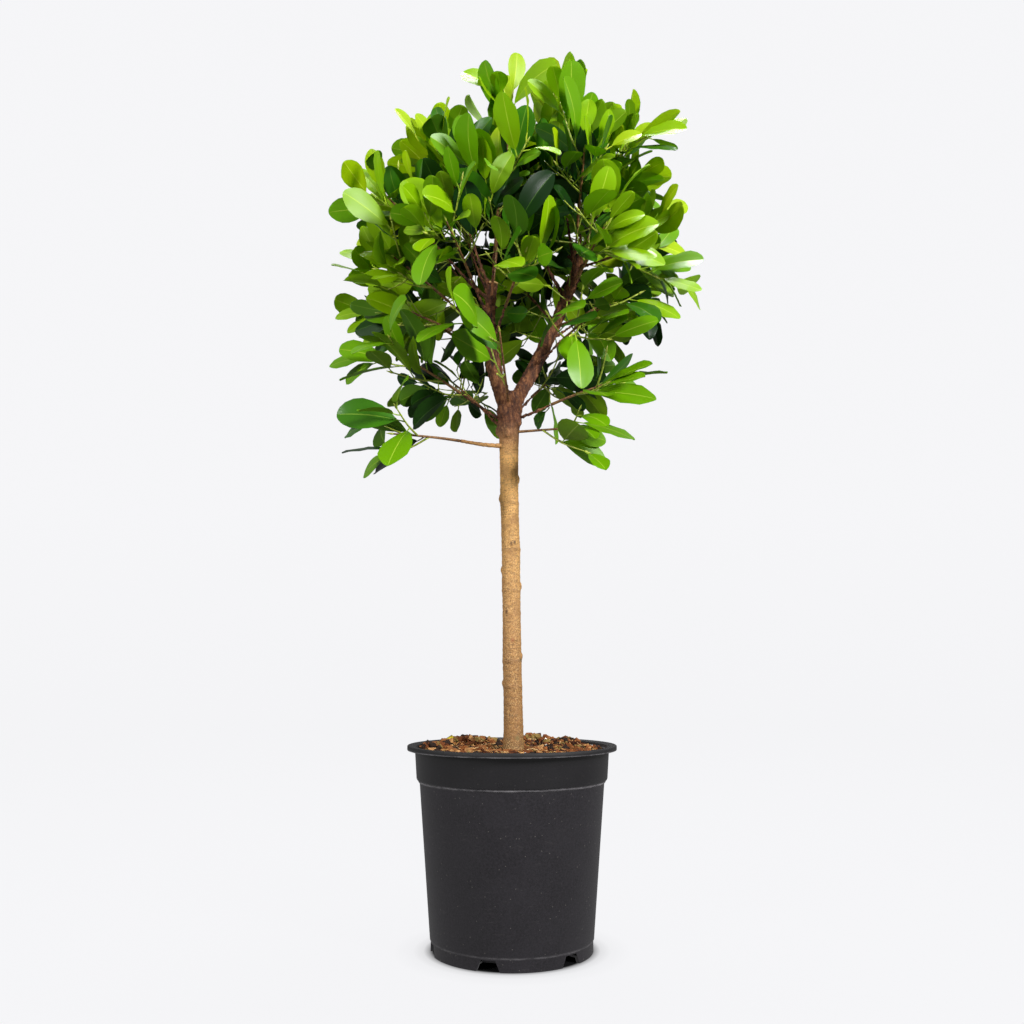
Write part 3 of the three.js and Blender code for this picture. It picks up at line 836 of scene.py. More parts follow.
def inOpening(leaf):
    right, depth, height = leaf["samples"].mean(0)
    if depth > skyPlan["openingDepth"]:
        return False
    for x0, z0, x1, z1, halfWidth in skyPlan["openings"]:
        way = np.array([x1 - x0, z1 - z0], float)
        gap = np.array([right - x0, height - z0])
        share = min(1, max(0, gap.dot(way) / way.dot(way)))
        if np.linalg.norm(gap - way * share) < halfWidth:
            return True
    return False


def farApart(samples, others, gap):
    return all((((samples[:, None] - other[None]) ** 2).sum(2) > gap * gap).all() for other in others)


def sideTwig(carrier, share, turn, plan, massIndex, random):
    # a twig set off from its carrier, or none where it has no room
    onward = directionAlong(carrier["points"], share)
    spread = math.radians(between(plan["spread"], random))
    heading, rise = bearingOf(onward * math.cos(spread) + across(onward, turn) * math.sin(spread))
    length = between(plan["length"], random)
    lift = min(plan["lift"], plan["steepest"] - rise)
    axis = bentAxis(pointAlong(carrier["points"], share), heading, rise, lift, length, plan["rings"])
    if not inSpace(axis[1:], massIndex, plan["twigMargin"]):
        return None
    if not clearOfLimbs(axis[1:], plan["twigGap"], masses[massIndex]["limb"]):
        return None
    return {"points": axis, "length": length}


def leavesAlong(twig, firstShare, plan, random, fits):
    # leaves at the golden angle, each tried at several turns until it has room
    count = max(2, math.floor(twig["length"] * (1 - firstShare) / plan["internode"] + 0.5))
    turn = random() * 360
    for index in range(count):
        share = firstShare + (1 - firstShare) * (index + 1) / count
        root, way = pointAlong(twig["points"], share), directionAlong(twig["points"], share)
        for attempt in range(plan["tries"]):
            leaf = makeLeaf(root, way, turn, 1 - plan["ageing"] * index / count, random)
            if "leafLength" in plan:
                ratio = between(plan["leafLength"], random) / leaf["length"]
                leaf["length"] *= ratio
                leaf["width"] *= ratio
            if "stalk" in plan:
                leaf["stalk"] = between(plan["stalk"], random)
            turn += twigPlan["goldenTurn"] if attempt == 0 else 360 / plan["tries"]
            leaf["samples"] = leafSamples(leaf)
            if fits(leaf["samples"]):
                yield leaf
                break


def addLeaves(spray, twig, firstShare, plan, massIndex, random, inReach=None):
    # leaves that keep to their mass's own space; says how many found room
    def fits(samples):
        if inReach and not inReach(samples):
            return False
        if not inSpace(samples, massIndex, plan["spaceMargin"]) or not clearOfLimbs(samples, plan["limbGap"], ""):
            return False
        return farApart(samples, [other["samples"] for other in spray["leaves"]], plan["leafGap"])
    placed = 0
    for leaf in leavesAlong(twig, firstShare, plan, random, fits):
        spray["leaves"].append(leaf)
        placed += 1
    return placed


def growSpray(massIndex):
    p = twigPlan
    mass = masses[massIndex]
    random = seeded(mass["seed"])
    elbow = mass["foot"] + mass["outward"] * mass["reach"] * p["elbowShare"]
    points = []
    for ring in range(p["stemRings"] + 1):
        t = ring / p["stemRings"]
        points.append(mass["foot"] * (1 - t) ** 2 + elbow * 2 * t * (1 - t) + mass["heart"] * t ** 2)
    stem = {"points": np.array(points), "length": mass["reach"]}
    firstTurn = random() * 360
    shoots = []
    for index in range(p["shootsPerSpray"]):
        share = p["firstShoot"] + (p["lastShoot"] - p["firstShoot"]) * index / (p["shootsPerSpray"] - 1)
        shoot = sideTwig(stem, share, firstTurn + index * p["goldenTurn"], p, massIndex, random)
        if shoot:
            shoots.append(shoot)
    spray = {"stem": stem, "shoots": shoots, "leaves": [], "twiglets": []}
    for shoot in shoots:
        addLeaves(spray, shoot, p["leafyFromOnShoot"], leafPlan, massIndex, random)
    addLeaves(spray, stem, p["leafyFromOnStem"], leafPlan, massIndex, random)
    return spray


lightPlan = {
    "out": 0.5,
    "up": 0.55,
    "front": 1.0,
    "frontFrom": 40,
    "most": 1.1,
    "parts": (1.0, 0.75, 0.5, 0.25),
    "swell": 1.16,
    "swellFrom": 740,
    # the head is lower in front: this high over the middle, and that much less for each step to the front
    "ceiling": 857,
    "ceilingFall": 0.65,
    "spaceMargin": 0.2,
    "leafGap": 2.6,
    "limbGap": 2.0,
}


def takesRoom(leaf, change, massIndex, others):
    # changes the leaf where it has room for that
    p = lightPlan
    trial = dict(leaf, **change)
    samples = leafSamples(trial)
    if not inSpace(samples, massIndex, p["spaceMargin"]) or not clearOfLimbs(samples, p["limbGap"], ""):
        return False
    top = (samples[:, 2] - samples[:, 1] * p["ceilingFall"]).max()
    if top > p["ceiling"] or not farApart(samples, others, p["leafGap"]):
        return False
    leaf.update(trial, samples=samples)
    return True


def turnToLight(spray, massIndex):
    # each leaf rolls about its own line as far towards the light as it has room to
    p = lightPlan
    for leaf in spray["leaves"]:
        root, normal, side = leaf["root"], leaf["normal"], leaf["side"]
        facing = unit(np.array([root[0], root[1], 0.0])) * p["out"] + np.array([0.0, 0.0, p["up"]])
        if root[1] < p["frontFrom"]:
            facing = facing + np.array([0.0, -p["front"], 0.0])
        goal = unit(facing - leaf["direction"] * facing.dot(leaf["direction"]))
        angle = max(-p["most"], min(p["most"], math.atan2(goal.dot(side), goal.dot(normal))))
        others = [other["samples"] for other in spray["leaves"] if other is not leaf]
        for part in p["parts"]:
            roll = angle * part
            turned = {"normal": normal * math.cos(roll) + side * math.sin(roll),
                      "side": side * math.cos(roll) - normal * math.sin(roll)}
            if takesRoom(leaf, turned, massIndex, others):
                break
        # the leaves at the top get the most light and grow largest
        if root[2] > p["swellFrom"]:
            swollen = {"length": leaf["length"] * p["swell"], "width": leaf["width"] * p["swell"]}
            takesRoom(leaf, swollen, massIndex, others)


# Finer growth within the same reach: twiglets with smaller leaves, and more of them at the back of the head.
finerPlan = {
    "seedStep": 7001,
    "from": 560,
    "behind": 0,
    # twiglets on a stem and on a shoot, how many more of each at the back, and the first one's share of the way
    "stem": (4, 4, 0.3),
    "shoot": (1, 2, 0.2),
    "last": 0.95,
    "radius": 0.75,
    "tipRadius": 0.45,
    "length": (14, 34),
    "spread": (34, 66),
    "lift": 20,
    "steepest": 88,
    "rings": 3,
    "twigMargin": 0.5,
    "twigGap": 1.5,
    "leafLength": (26, 44),
    "stalk": (4, 8),
    "internode": 8,
    "ageing": 0.8,
    "tries": 10,
    "leafGap": 3.2,
    "limbGap": 2.2,
    "spaceMargin": 0.4,
}


def growFiner(spray, massIndex):
    p = finerPlan
    mass = masses[massIndex]
    random = seeded(mass["seed"] + p["seedStep"])
    reach = max(np.linalg.norm(leaf["samples"] - mass["foot"], axis=1).max() for leaf in spray["leaves"])
    top = max(leaf["samples"][:, 2].max() for leaf in spray["leaves"])
    behind = mass["heart"][1] > p["behind"]
    if mass["heart"][2] < p["from"] and not behind:
        return

    def inReach(samples):
        return np.linalg.norm(samples - mass["foot"], axis=1).max() < reach and samples[:, 2].max() < top
    carriers = [(spray["stem"], p["stem"])] + [(shoot, p["shoot"]) for shoot in spray["shoots"]]
    for carrier, (count, more, first) in carriers:
        if behind:
            count += more
        firstTurn = random() * 360
        for index in range(count):
            share = first + (p["last"] - first) * (index + random()) / count
            twiglet = sideTwig(carrier, share, firstTurn + index * twigPlan["goldenTurn"], p, massIndex, random)
            if twiglet and addLeaves(spray, twiglet, 0, p, massIndex, random, inReach):
                spray["twiglets"].append(twiglet)


def growCrown():
    sprays = []
    for massIndex, mass in enumerate(masses):
        spray = growSpray(massIndex)
        spray["solidLeaves"] = len(spray["leaves"])
        turnToLight(spray, massIndex)
        growFiner(spray, massIndex)
        thinning = seeded(mass["seed"] + skyPlan["seedStep"])
        spray["leaves"] = [leaf for leaf in spray["leaves"] if not inOpening(leaf) and not inSky(leaf, thinning)]
        sprays.append(spray)
    return sprays


sprays = growCrown()
headMiddle = np.array([0.0, 0.0, 670.0])
headHalf = np.array([168.0, 160.0, 185.0])

# Shaded twigs inside the head, from the nearest limb towards places drawn by the rule.
innerPlan = {
    "seed": 8081,
    "twigs": 112,
    # places that would stay thin, each with a twig of its own
    "thin": [(-30, 45, 674), (-32, 75, 664), (-20, 60, 682), (40, 70, 650)],
    "region": ((-105, 105), (-30, 100), (575, 800)),
    "limbShares": (0.15, 0.3, 0.45, 0.6, 0.75, 0.9),
    "nearest": 22,
    "length": (34, 80),
    "bend": 14,
    "rings": 3,
    "twigGap": 1.5,
    "firstLeaf": 0.35,
    "internode": 8.5,
    "ageing": 0.6,
    "tries": 10,
    "leafLength": (34, 52),
    # how far out a leaf may stand, as a share of the head's half size
    "outermost": 0.9,
    "longest": 70,
    "leafGap": 2.6,
    "limbGap": 2.2,
}


def growInner():
    p = innerPlan
    random = seeded(p["seed"])
    taken = np.concatenate([leaf["samples"] for spray in sprays for leaf in spray["leaves"]])
    starts = [(name, pointAlong(limbs[name]["axis"], share)) for name in limbs if name != "trunk"
              for share in p["limbShares"]]

    def fits(samples):
        inside = (np.linalg.norm((samples - headMiddle) / headHalf, axis=1) < p["outermost"]).all()
        if not inside or not clearOfLimbs(samples, p["limbGap"], ""):
            return False
        near = taken[np.abs(taken - samples.mean(0)).max(1) < p["longest"]]
        return farApart(samples, [near], p["leafGap"])
    for number in range(p["twigs"] + len(p["thin"])):
        if number < p["twigs"]:
            goal = np.array([between(pair, random) for pair in p["region"]])
        else:
            goal = np.array(p["thin"][number - p["twigs"]], float)
        gap, start, limbName = min((np.linalg.norm(goal - point), tuple(point), name) for name, point in starts
                                   if np.linalg.norm(goal - point) > p["nearest"])
        heading, rise = bearingOf(goal - np.array(start))
        length = min(gap, between(p["length"], random))
        axis = bentAxis(np.array(start), heading, rise - p["bend"] / 2, p["bend"], length, p["rings"])
        if not clearOfLimbs(axis[1:], p["twigGap"], limbName):
            continue
        spray = sprays[int(lineDistances(goal[None], massFeet, massHearts)[0].argmin())]
        twiglet = {"points": axis, "length": length}
        placed = 0
        for leaf in leavesAlong(twiglet, p["firstLeaf"], p, random, fits):
            taken = np.concatenate([taken, leaf["samples"]])
            if not inOpening(leaf):
                spray["leaves"].append(leaf)
                placed += 1
        if placed:
            spray["twiglets"].append(twiglet)


growInner()
print("stage: grown", sum(spray["solidLeaves"] for spray in sprays), "leaves of the solids,",
      sum(len(spray["leaves"]) for spray in sprays), "kept in all")


# Soil: the same heaped surface as the solid, with chips, crumbs, fibres and perlite lying in it.
soilPlan = {
    "top": 171.2,
    "hump": 2.2,
    "rise": 2.0,
    "flatRadius": 13.0,
    "fade": 20.0,
    "bandRadius": 88.0,
    "sides": 96,
    "rings": 34,
    "relief": 4.4,
    "reliefSize": 7.0,
    "section": [(67.5, 10.0), (81.0, 145.0), (84.0, 149.2)],
    "edgeRadius": 85.6,
    # how far the edge's ring stands under the top, and the heap's skin under its height, inside and at the edge
    "edgeDrop": 1.5,
    "skinDrop": (0.6, 2.2),
    # the relief's middle, and how far under the top and in from the edge it begins
    "reliefMiddle": 0.62,
    "reliefDepth": 9,
    "reliefInset": 2,
    "smoothTo": 40,
    "seed": 911,
    # heaps against the far rim: bearing, half width in degrees, height, crumbs on it
    "heaps": [(150, 34, 3.6, 90), (118, 14, 2.6, 40), (60, 22, 3.4, 80)],
    "heapRadius": 74.0,
    "heapDepth": 13.0,
    "heapEdge": 84.8,
    "heapFade": 5,
    "heapSpread": (-9, 7),
    # spot is how far from the middle a thing may lie, least and most
    "chips": {"count": 300, "spot": (14, 80), "length": (3, 9), "width": (0.35, 0.8), "thick": (1.4, 3.8),
              "lift": (-0.9, 0.9), "tilt": (-0.5, 0.5)},
    "crumbs": {"count": 2600, "spot": (11, 84.2), "size": (1.1, 4.2), "lift": (-0.6, 0.5)},
    "clumps": {"count": 150, "spot": (16, 80), "size": (4.5, 10.5), "sunk": 0.08},
    "heaped": {"size": (3.5, 8.5), "raised": 0.16},
    "fibres": {"count": 170, "spot": (13, 78), "length": (6, 26), "steps": 5, "turn": (-38, 38), "rise": (-9, 9),
               "lift": (0.3, 1.6), "hover": (0.3, 1.8), "farthest": 84, "radii": (0.34, 0.16)},
    "perlite": {"count": 20, "spot": (18, 82), "size": (1.0, 2.3), "flat": 0.8, "lift": 0.8, "tilt": (-1, 1)},
    # a scrap of yellowed leaf: place and height over the soil, size, turn, tilt and roll
    "scrap": ((-60, 38, 3.0), (8.5, 5.0, 0.6), 0.5, -0.5, 0.35),
    # how much the corners of a chip, and those and the three sizes of a crumb, may stray
    "chipStray": (-0.38, 0.38),
    "crumbStray": (0.66, 1.25),
    "crumbSizes": ((0.75, 1.3), (0.75, 1.3), (0.6, 0.95)),
    "anyTurn": 6.28,
    # name, colours and roughness of chips, crumbs and fibres
    "chipLooks": [("pineBarkDark", "#241006", "#4c260f", 0.85), ("pineBarkMid", "#532e15", "#7e4a24", 0.88),
                  ("pineBarkPale", "#7d5430", "#b78b58", 0.9)],
    "crumbLooks": [("peatCrumb", "#22150d", 0.95), ("coirCrumb", "#5a2f12", 0.95), ("barkCrumb", "#744824", 0.95),
                   ("mossyCrumb", "#6f5a2e", 0.95)],
    "fibreLooks": [("coirFibre", "#a5773f", 0.8), ("rootFibre", "#c9a877", 0.8), ("yellowedLeaf", "#b8a41c", 0.6)],
    "perliteLooks": [("perliteGrain", "#e9e6df", 0.9)],
}


def soilHeight(x, y):
    p = soilPlan
    radius, bearing = math.hypot(x, y), math.degrees(math.atan2(y, x))
    # the same waves as the solid's, level round the stem
    fade = min(1, max(0, (radius - p["flatRadius"]) / p["fade"]))
    hump = math.sin(x / 15 + 0.8) * math.cos(y / 12 + 0.4) + 0.6 * math.sin(x / 8 - y / 9)
    level = p["top"] + fade * (p["hump"] * hump + p["rise"] * y / p["bandRadius"])
    for middle, halfWidth, height, count in p["heaps"]:
        alongRim = math.exp(-((bearing - middle) / halfWidth) ** 4)
        fromRim = math.exp(-((radius - p["heapRadius"]) / p["heapDepth"]) ** 2)
        level += height * alongRim * fromRim * min(1, max(0, (p["heapEdge"] - radius) / p["heapFade"]))
    return level


def plainMaterial(name, color, roughness):
    # peat, coir and bark crumbs, perlite, a dry leaf and sawn wood: dull, and one colour each
    material, tree = newMaterial(name)
    addSurface(tree, {"Base Color": color, "Roughness": roughness, "Specular IOR Level": 0.25})
    return material


def soilMaterial():
    # damp coco and peat: matte, dark brown with paler fibres through it
    material, tree = newMaterial("cocoPeat")
    place = objectPlace(tree)
    fine = addNoise(tree, place, 2.2, 8.0, 0.7)
    color = addRamp(tree, fine, [(0.30, "#1c0f07"), (0.5, "#432512"), (0.66, "#6f451f")])
    shade = addRamp(tree, addNoise(tree, place, 16, 3.0), [(0.3, 0.55), (0.7, 1.0)])
    mixed = mixColors(tree, 1.0, color, shade, "MULTIPLY")
    addSurface(tree, {"Roughness": 0.93, "IOR": 1.4, "Base Color": mixed, "Normal": addBump(tree, fine, 1.0, 1.2)})
    return material


def barkChipMaterial(name, low, high, roughness):
    # composted pine bark and coir: fibrous, dry on top
    material, tree = newMaterial(name)
    noise = addNoise(tree, objectPlace(tree), 3.0, 5.0)
    color = addRamp(tree, noise, [(0.35, low), (0.65, high)])
    addSurface(tree, {"Roughness": roughness, "IOR": 1.4, "Specular IOR Level": 0.25, "Base Color": color,
                      "Normal": addBump(tree, noise, 0.7, 0.4)})
    return material


def meshPiece(name, parts, materials, smooth):
    # parts: (points, faces, material number or one for each face), joined into one mesh
    points = np.concatenate([part[0] for part in parts]) * mm
    corners, starts, totals, indices = [], [], [], []
    offset = 0
    for partPoints, faces, slot in parts:
        for position, face in enumerate(faces):
            starts.append(len(corners))
            totals.append(len(face))
            corners.extend(corner + offset for corner in face)
            indices.append(slot[position] if isinstance(slot, list) else slot)
        offset += len(partPoints)
    mesh = bpy.data.meshes.new(name)
    mesh.vertices.add(len(points))
    mesh.vertices.foreach_set("co", points.astype(np.float32).ravel())
    mesh.loops.add(len(corners))
    mesh.loops.foreach_set("vertex_index", corners)
    mesh.polygons.add(len(starts))
    for setting, values in (("loop_start", starts), ("loop_total", totals), ("material_index", indices),
                            ("use_smooth", [smooth] * len(starts))):
        mesh.polygons.foreach_set(setting, values)
    mesh.update(calc_edges=True)
    mesh.validate()
    for material in materials:
        mesh.materials.append(material)
    piece = bpy.data.objects.new(name, mesh)
    bpy.context.scene.collection.objects.link(piece)
    return piece


boxCorners = np.array([(-1, -1, -1), (1, -1, -1), (1, 1, -1), (-1, 1, -1),
                       (-1, -1, 1), (1, -1, 1), (1, 1, 1), (-1, 1, 1)], float)
boxFaces = [(0, 3, 2, 1), (4, 5, 6, 7), (0, 1, 5, 4), (1, 2, 6, 5), (2, 3, 7, 6), (3, 0, 4, 7)]


def spin(axis, turn):
    # turns points round axis 0, 1 or 2
    matrix = np.eye(3)
    first, second = (axis + 1) % 3, (axis + 2) % 3
    matrix[first, first] = matrix[second, second] = math.cos(turn)
    matrix[second, first] = math.sin(turn)
    matrix[first, second] = -math.sin(turn)
    return matrix


def makeChip(center, size, turn, tilt, roll, random):
    corners = boxCorners * (np.array(size) / 2)
    corners *= 1 + np.array([between(soilPlan["chipStray"], random) for number in range(24)]).reshape(8, 3)
    return center + corners @ spin(0, roll).T @ spin(1, tilt).T @ spin(2, turn).T


def makeCrumb(center, size, shape, random):
    points, faces = shape
    swell = np.array([between(soilPlan["crumbStray"], random) for number in range(len(points))])[:, None]
    flat = np.array([between(pair, random) for pair in soilPlan["crumbSizes"]])
    turn = random() * 2 * math.pi
    return center + (points * swell * flat * size / 2) @ spin(2, turn).T, faces


def roundShape(subdivisions):
    # the corners and faces of a small ball
    activate()
    bpy.ops.mesh.primitive_ico_sphere_add(subdivisions=subdivisions, radius=1)
    ball = bpy.context.active_object
    points = np.array([vertex.co[:] for vertex in ball.data.vertices])
    faces = [tuple(face.vertices) for face in ball.data.polygons]
    bpy.data.objects.remove(ball)
    return points, faces


def tube(points, radii, sides):
    # a closed round bar through the points; the ring's first direction is carried along without twist
    points = np.array(points, float)
    ways = np.gradient(points, axis=0)
    ways /= np.linalg.norm(ways, axis=1)[:, None]
    side = across(ways[0], 0)
    angles = np.arange(sides) / sides * 2 * math.pi
    rings = []
    for point, way, radius in zip(points, ways, radii):
        side = unit(side - way * side.dot(way))
        other = np.cross(way, side)
        rings.append(point + radius * (np.cos(angles)[:, None] * side + np.sin(angles)[:, None] * other))
    faces = []
    for low in range(0, (len(points) - 1) * sides, sides):
        for corner in range(sides):
            onward = (corner + 1) % sides
            faces.append((low + corner, low + onward, low + sides + onward, low + sides + corner))
    faces.append(tuple(range(sides - 1, -1, -1)))
    faces.append(tuple(range((len(points) - 1) * sides, len(points) * sides)))
    return np.concatenate(rings), faces


def soilSpot(random, reach):
    least, most = reach
    radius = math.sqrt(between((least * least, most * most), random))
    turn = random() * 2 * math.pi
    x, y = radius * math.cos(turn), radius * math.sin(turn)
    return x, y, soilHeight(x, y)


def makeHeap():
    # the soil's body, each point of its top raised to the heap's height there
    p = soilPlan
    section = p["section"] + [(p["edgeRadius"], p["top"] - p["edgeDrop"])]
    for ring in range(p["rings"]):
        section.append((p["edgeRadius"] * (1 - (ring + 0.6) / (p["rings"] + 0.4)), p["top"]))
    soil = turnSection("soilHeap", section, p["sides"])
    rim = p["top"] - 1.0
    for vertex in soil.data.vertices:
        x, y, z = vertex.co / mm
        if z > rim - 2:
            vertex.co.z = (soilHeight(x, y) - p["skinDrop"][0 if z > rim else 1]) * mm
    group = soil.vertex_groups.new(name="heapTop")
    group.add([v.index for v in soil.data.vertices if v.co.z > (p["top"] - p["reliefDepth"]) * mm
               and math.hypot(v.co.x, v.co.y) < (p["edgeRadius"] - p["reliefInset"]) * mm], 1.0, "REPLACE")
    grain = bpy.data.textures.new("soilGrain", "CLOUDS")
    grain.noise_scale = p["reliefSize"] * mm
    grain.noise_depth = 3
    addModifier(soil, "DISPLACE", texture=grain, strength=p["relief"] * mm, direction="Z",
                mid_level=p["reliefMiddle"], vertex_group="heapTop", texture_coords="LOCAL")
    applyModifiers(soil)
    shadeByAngle(soil, p["smoothTo"])
    soil.data.materials.append(soilMaterial())
    return soil


def scatterChips(random):
    p = soilPlan["chips"]
    chips = []
    for number in range(p["count"]):
        x, y, z = soilSpot(random, p["spot"])
        long = between(p["length"], random)
        size = (long, long * between(p["width"], random), between(p["thick"], random))
        place = np.array([x, y, z + between(p["lift"], random)])
        shape = makeChip(place, size, random() * soilPlan["anyTurn"], between(p["tilt"], random),
                         between(p["tilt"], random), random)
        chips.append((shape, boxFaces, int(random() * 3)))
    return chips


def scatterCrumbs(random):
    # small crumbs everywhere, clumps among them, and clumps heaped against the far rim
    p = soilPlan
    smallBall, bigBall = roundShape(1), roundShape(2)
    crumbs = []
    for number in range(p["crumbs"]["count"]):
        x, y, z = soilSpot(random, p["crumbs"]["spot"])
        size = between(p["crumbs"]["size"], random)
        place = np.array([x, y, z + between(p["crumbs"]["lift"], random)])
        crumbs.append((*makeCrumb(place, size, smallBall, random), int(random() * 4)))
    for number in range(p["clumps"]["count"]):
        x, y, z = soilSpot(random, p["clumps"]["spot"])
        size = between(p["clumps"]["size"], random)
        place = np.array([x, y, z - size * p["clumps"]["sunk"]])
        crumbs.append((*makeCrumb(place, size, bigBall, random), int(random() * 3)))
    for middle, halfWidth, height, count in p["heaps"]:
        for number in range(count):
            bearing = math.radians(middle + halfWidth * between((-1, 1), random))
            radius = p["heapRadius"] + between(p["heapSpread"], random)
            x, y = radius * math.cos(bearing), radius * math.sin(bearing)
            size = between(p["heaped"]["size"], random)
            place = np.array([x, y, soilHeight(x, y) + size * p["heaped"]["raised"]])
            crumbs.append((*makeCrumb(place, size, bigBall, random), int(random() * 4)))
    return crumbs


def scatterFibres(random):
    p = soilPlan["fibres"]
    fibres = []
    for number in range(p["count"]):
        x, y, z = soilSpot(random, p["spot"])
        heading = random() * 360
        length = between(p["length"], random)
        points = [np.array([x, y, z + between(p["lift"], random)])]
        for step in range(p["steps"]):
            heading += between(p["turn"], random)
            onward = points[-1] + aim(heading, between(p["rise"], random)) * length / p["steps"]
            if math.hypot(onward[0], onward[1]) > p["farthest"]:
                break
            onward[2] = soilHeight(onward[0], onward[1]) + between(p["hover"], random)
            points.append(onward)
        if len(points) > 2:
            fibres.append((*tube(points, np.linspace(*p["radii"], len(points)), 4), int(random() * 2)))
    (x, y, lift), size, turn, tilt, roll = soilPlan["scrap"]
    scrap = makeChip(np.array([x, y, soilHeight(x, y) + lift]), size, turn, tilt, roll, random)
    fibres.append((scrap, boxFaces, 2))
    return fibres


def scatterPerlite(random):
    p = soilPlan["perlite"]
    perlite = []
    for number in range(p["count"]):
        x, y, z = soilSpot(random, p["spot"])
        size = between(p["size"], random)
        shape = makeChip(np.array([x, y, z + p["lift"]]), (size, size, size * p["flat"]),
                         random() * soilPlan["anyTurn"], between(p["tilt"], random), between(p["tilt"], random), random)
        perlite.append((shape, boxFaces, 0))
    return perlite


def makeSoil():
    random = seeded(soilPlan["seed"])
    pieces = [makeHeap()]
    for name, scatter, paint, looks, smooth in (
            ("soilChips", scatterChips, barkChipMaterial, "chipLooks", False),
            ("soilCrumbs", scatterCrumbs, plainMaterial, "crumbLooks", False),
            ("soilFibres", scatterFibres, plainMaterial, "fibreLooks", True),
            ("soilPerlite", scatterPerlite, plainMaterial, "perliteLooks", False)):
        pieces.append(meshPiece(name, scatter(random), [paint(*look) for look in soilPlan[looks]], smooth))
    for piece in pieces:
        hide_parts("soil")
        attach(piece, "root")


makeSoil()
print("stage: soil")


# Bark: trunk and leaders as one closed skin, boughs as another, and a sawn end. Millimetres.
barkPlan = {
    # height, diameter, how far the middle stands to the right
    "trunkSections": [
        (171.5, 20.6, 1.4), (175, 19.4, 1.4), (182, 18.6, 1.4), (190, 18.2, 1.4), (203, 17.7, 1.1), (216, 17.3, 0.9),
        (225.5, 17.4, 0.8), (228, 18.0, 0.7), (230.5, 17.5, 0.6), (240, 17.2, 0.4), (249, 17.5, 0.2),
        (251.5, 18.2, 0.1), (254, 17.6, 0.0), (262, 17.4, 0.0), (280, 17.0, -0.2), (298, 16.8, -0.4),
        (308, 16.8, -0.5), (314, 17.1, -0.6), (316.5, 17.8, -0.7), (319, 17.3, -0.8), (336, 17.1, -0.9),
        (352.5, 17.3, -0.9), (355, 18.0, -1.0), (357.5, 17.4, -1.1), (375, 17.0, -1.7), (390, 17.0, -2.1),
        (396.5, 17.4, -2.3), (399, 18.0, -2.4), (401.5, 17.5, -2.5), (420, 17.2, -2.6), (440, 17.7, -2.8),
        (451, 18.1, -2.9), (463, 19.4, -2.9), (474, 22.0, -3.0), (484, 23.4, -3.0), (493, 22.6, -3.0),
        (501, 20.4, -3.0), (508, 16.0, -3.0),
    ],
    "trunkSides": 40,
    "leaderSides": 28,
    "boughSides": 16,
    # rings along a leader and a bough, how much a bough swells at its foot, and how fast that ends
    "leaderRings": 18,
    "boughRings": 9,
    "boughSwell": 0.4,
    "swellFade": 9,
    "stubSides": 14,
    "stubTaper": (1.25, 1.0, 0.95, 0.85),
    "rings": [228, 251.5, 316.5, 355, 399],
    # height, bearing of the bump, half size round, up and out
    "bumps": [
        (422, 0, 3.2, 4.4, 2.2), (404, 175, 3.4, 4.6, 2.0), (361, -80, 2.6, 4.6, 1.7), (336, 178, 3.0, 4.0, 1.8),
        (321, 2, 3.2, 4.2, 2.0), (297, -110, 2.2, 3.2, 1.2), (271, -75, 2.4, 3.0, 1.3), (256, -4, 3.0, 3.8, 1.9),
        (232, 176, 3.0, 3.6, 1.8), (284, 100, 3.0, 4.0, 1.8), (345, 60, 3.0, 4.0, 1.8), (210, 130, 3.0, 3.8, 1.6),
        (381, 120, 3.2, 4.2, 2.0), (433, -60, 2.6, 3.0, 1.5), (478, -35, 6.5, 7.5, 5.0), (487, -130, 7.0, 8.0, 5.2),
        (470, 165, 5.5, 6.5, 4.4), (492, 20, 6.5, 8.0, 4.8), (466, -95, 5.0, 6.0, 3.6), (482, 95, 6.5, 8.0, 4.6),
    ],
    "bumpSink": 0.35,
    # dark marks on the bark: place, size, colour
    "marks": [
        ((2.6, -8.4, 361.5), 2.6, "#3d2917"), ((-0.6, -8.8, 360.0), 2.2, "#4a331f"),
        ((-4.8, -7.2, 297), 2.4, "#4c301b"), ((0.5, -8.7, 271), 2.6, "#8a5530"), ((7.6, -3.8, 253), 2.6, "#3f3a20"),
        ((-8.4, -1.5, 399), 2.6, "#5e3d22"), ((4.5, -7.4, 183), 3.4, "#6a5a30"),
    ],
    # how ragged a mark's edge is, as a factor of the streaks and a shift
    "markEdge": (2.5, -1.2),
    # leaf scars: how far over their ring, half their height as a share of the stem's, and how dark
    "scar": (2.5, 0.006, 0.34),
    # heights between which the stem's colour runs and the cracked bark comes in, and how ragged that is
    "colorHeights": (171.0, 501.0),
    "crackHeights": (455, 480),
    "ragged": 5,
    "stemVoxel": 0.95,
    "boughVoxel": 0.72,
    "fineRelief": 0.8,
    "fineSize": 2.6,
    "roughRelief": 2.6,
    "roughSize": 6.0,
    "roughFrom": 452,
    "roughFull": 478,
    # the sawn end: its share of the leader's radius, its thickness and how far it is raised
    "sawn": (0.93, 1.6, 0.5),
}


def barkTube(name, points, radii, sides):
    # a disc drawn out ring by ring along the points, each ring turned to the way there
    ways = np.gradient(np.array(points, float), axis=0)
    start = Vector(points[0]) * mm
    way = Vector(ways[0]).normalized()
    piece = startDisc(name, sides, radii[0], start, way.to_track_quat("Z", "Y").to_euler())
    for index in range(1, len(points)):
        here = Vector(points[index]) * mm
        onward = Vector(ways[index]).normalized()
        drawOut(here - start)
        grow = radii[index] / radii[index - 1]
        bpy.ops.transform.resize(value=(grow, grow, grow), center_override=here)
        for axis, angle in zip("XYZ", way.rotation_difference(onward).to_euler("XYZ")):
            if abs(angle) > 1e-5:
                bpy.ops.transform.rotate(value=-angle, orient_axis=axis, orient_type="GLOBAL", center_override=here)
        start, way = here, onward
    closeToPoint()
    return piece


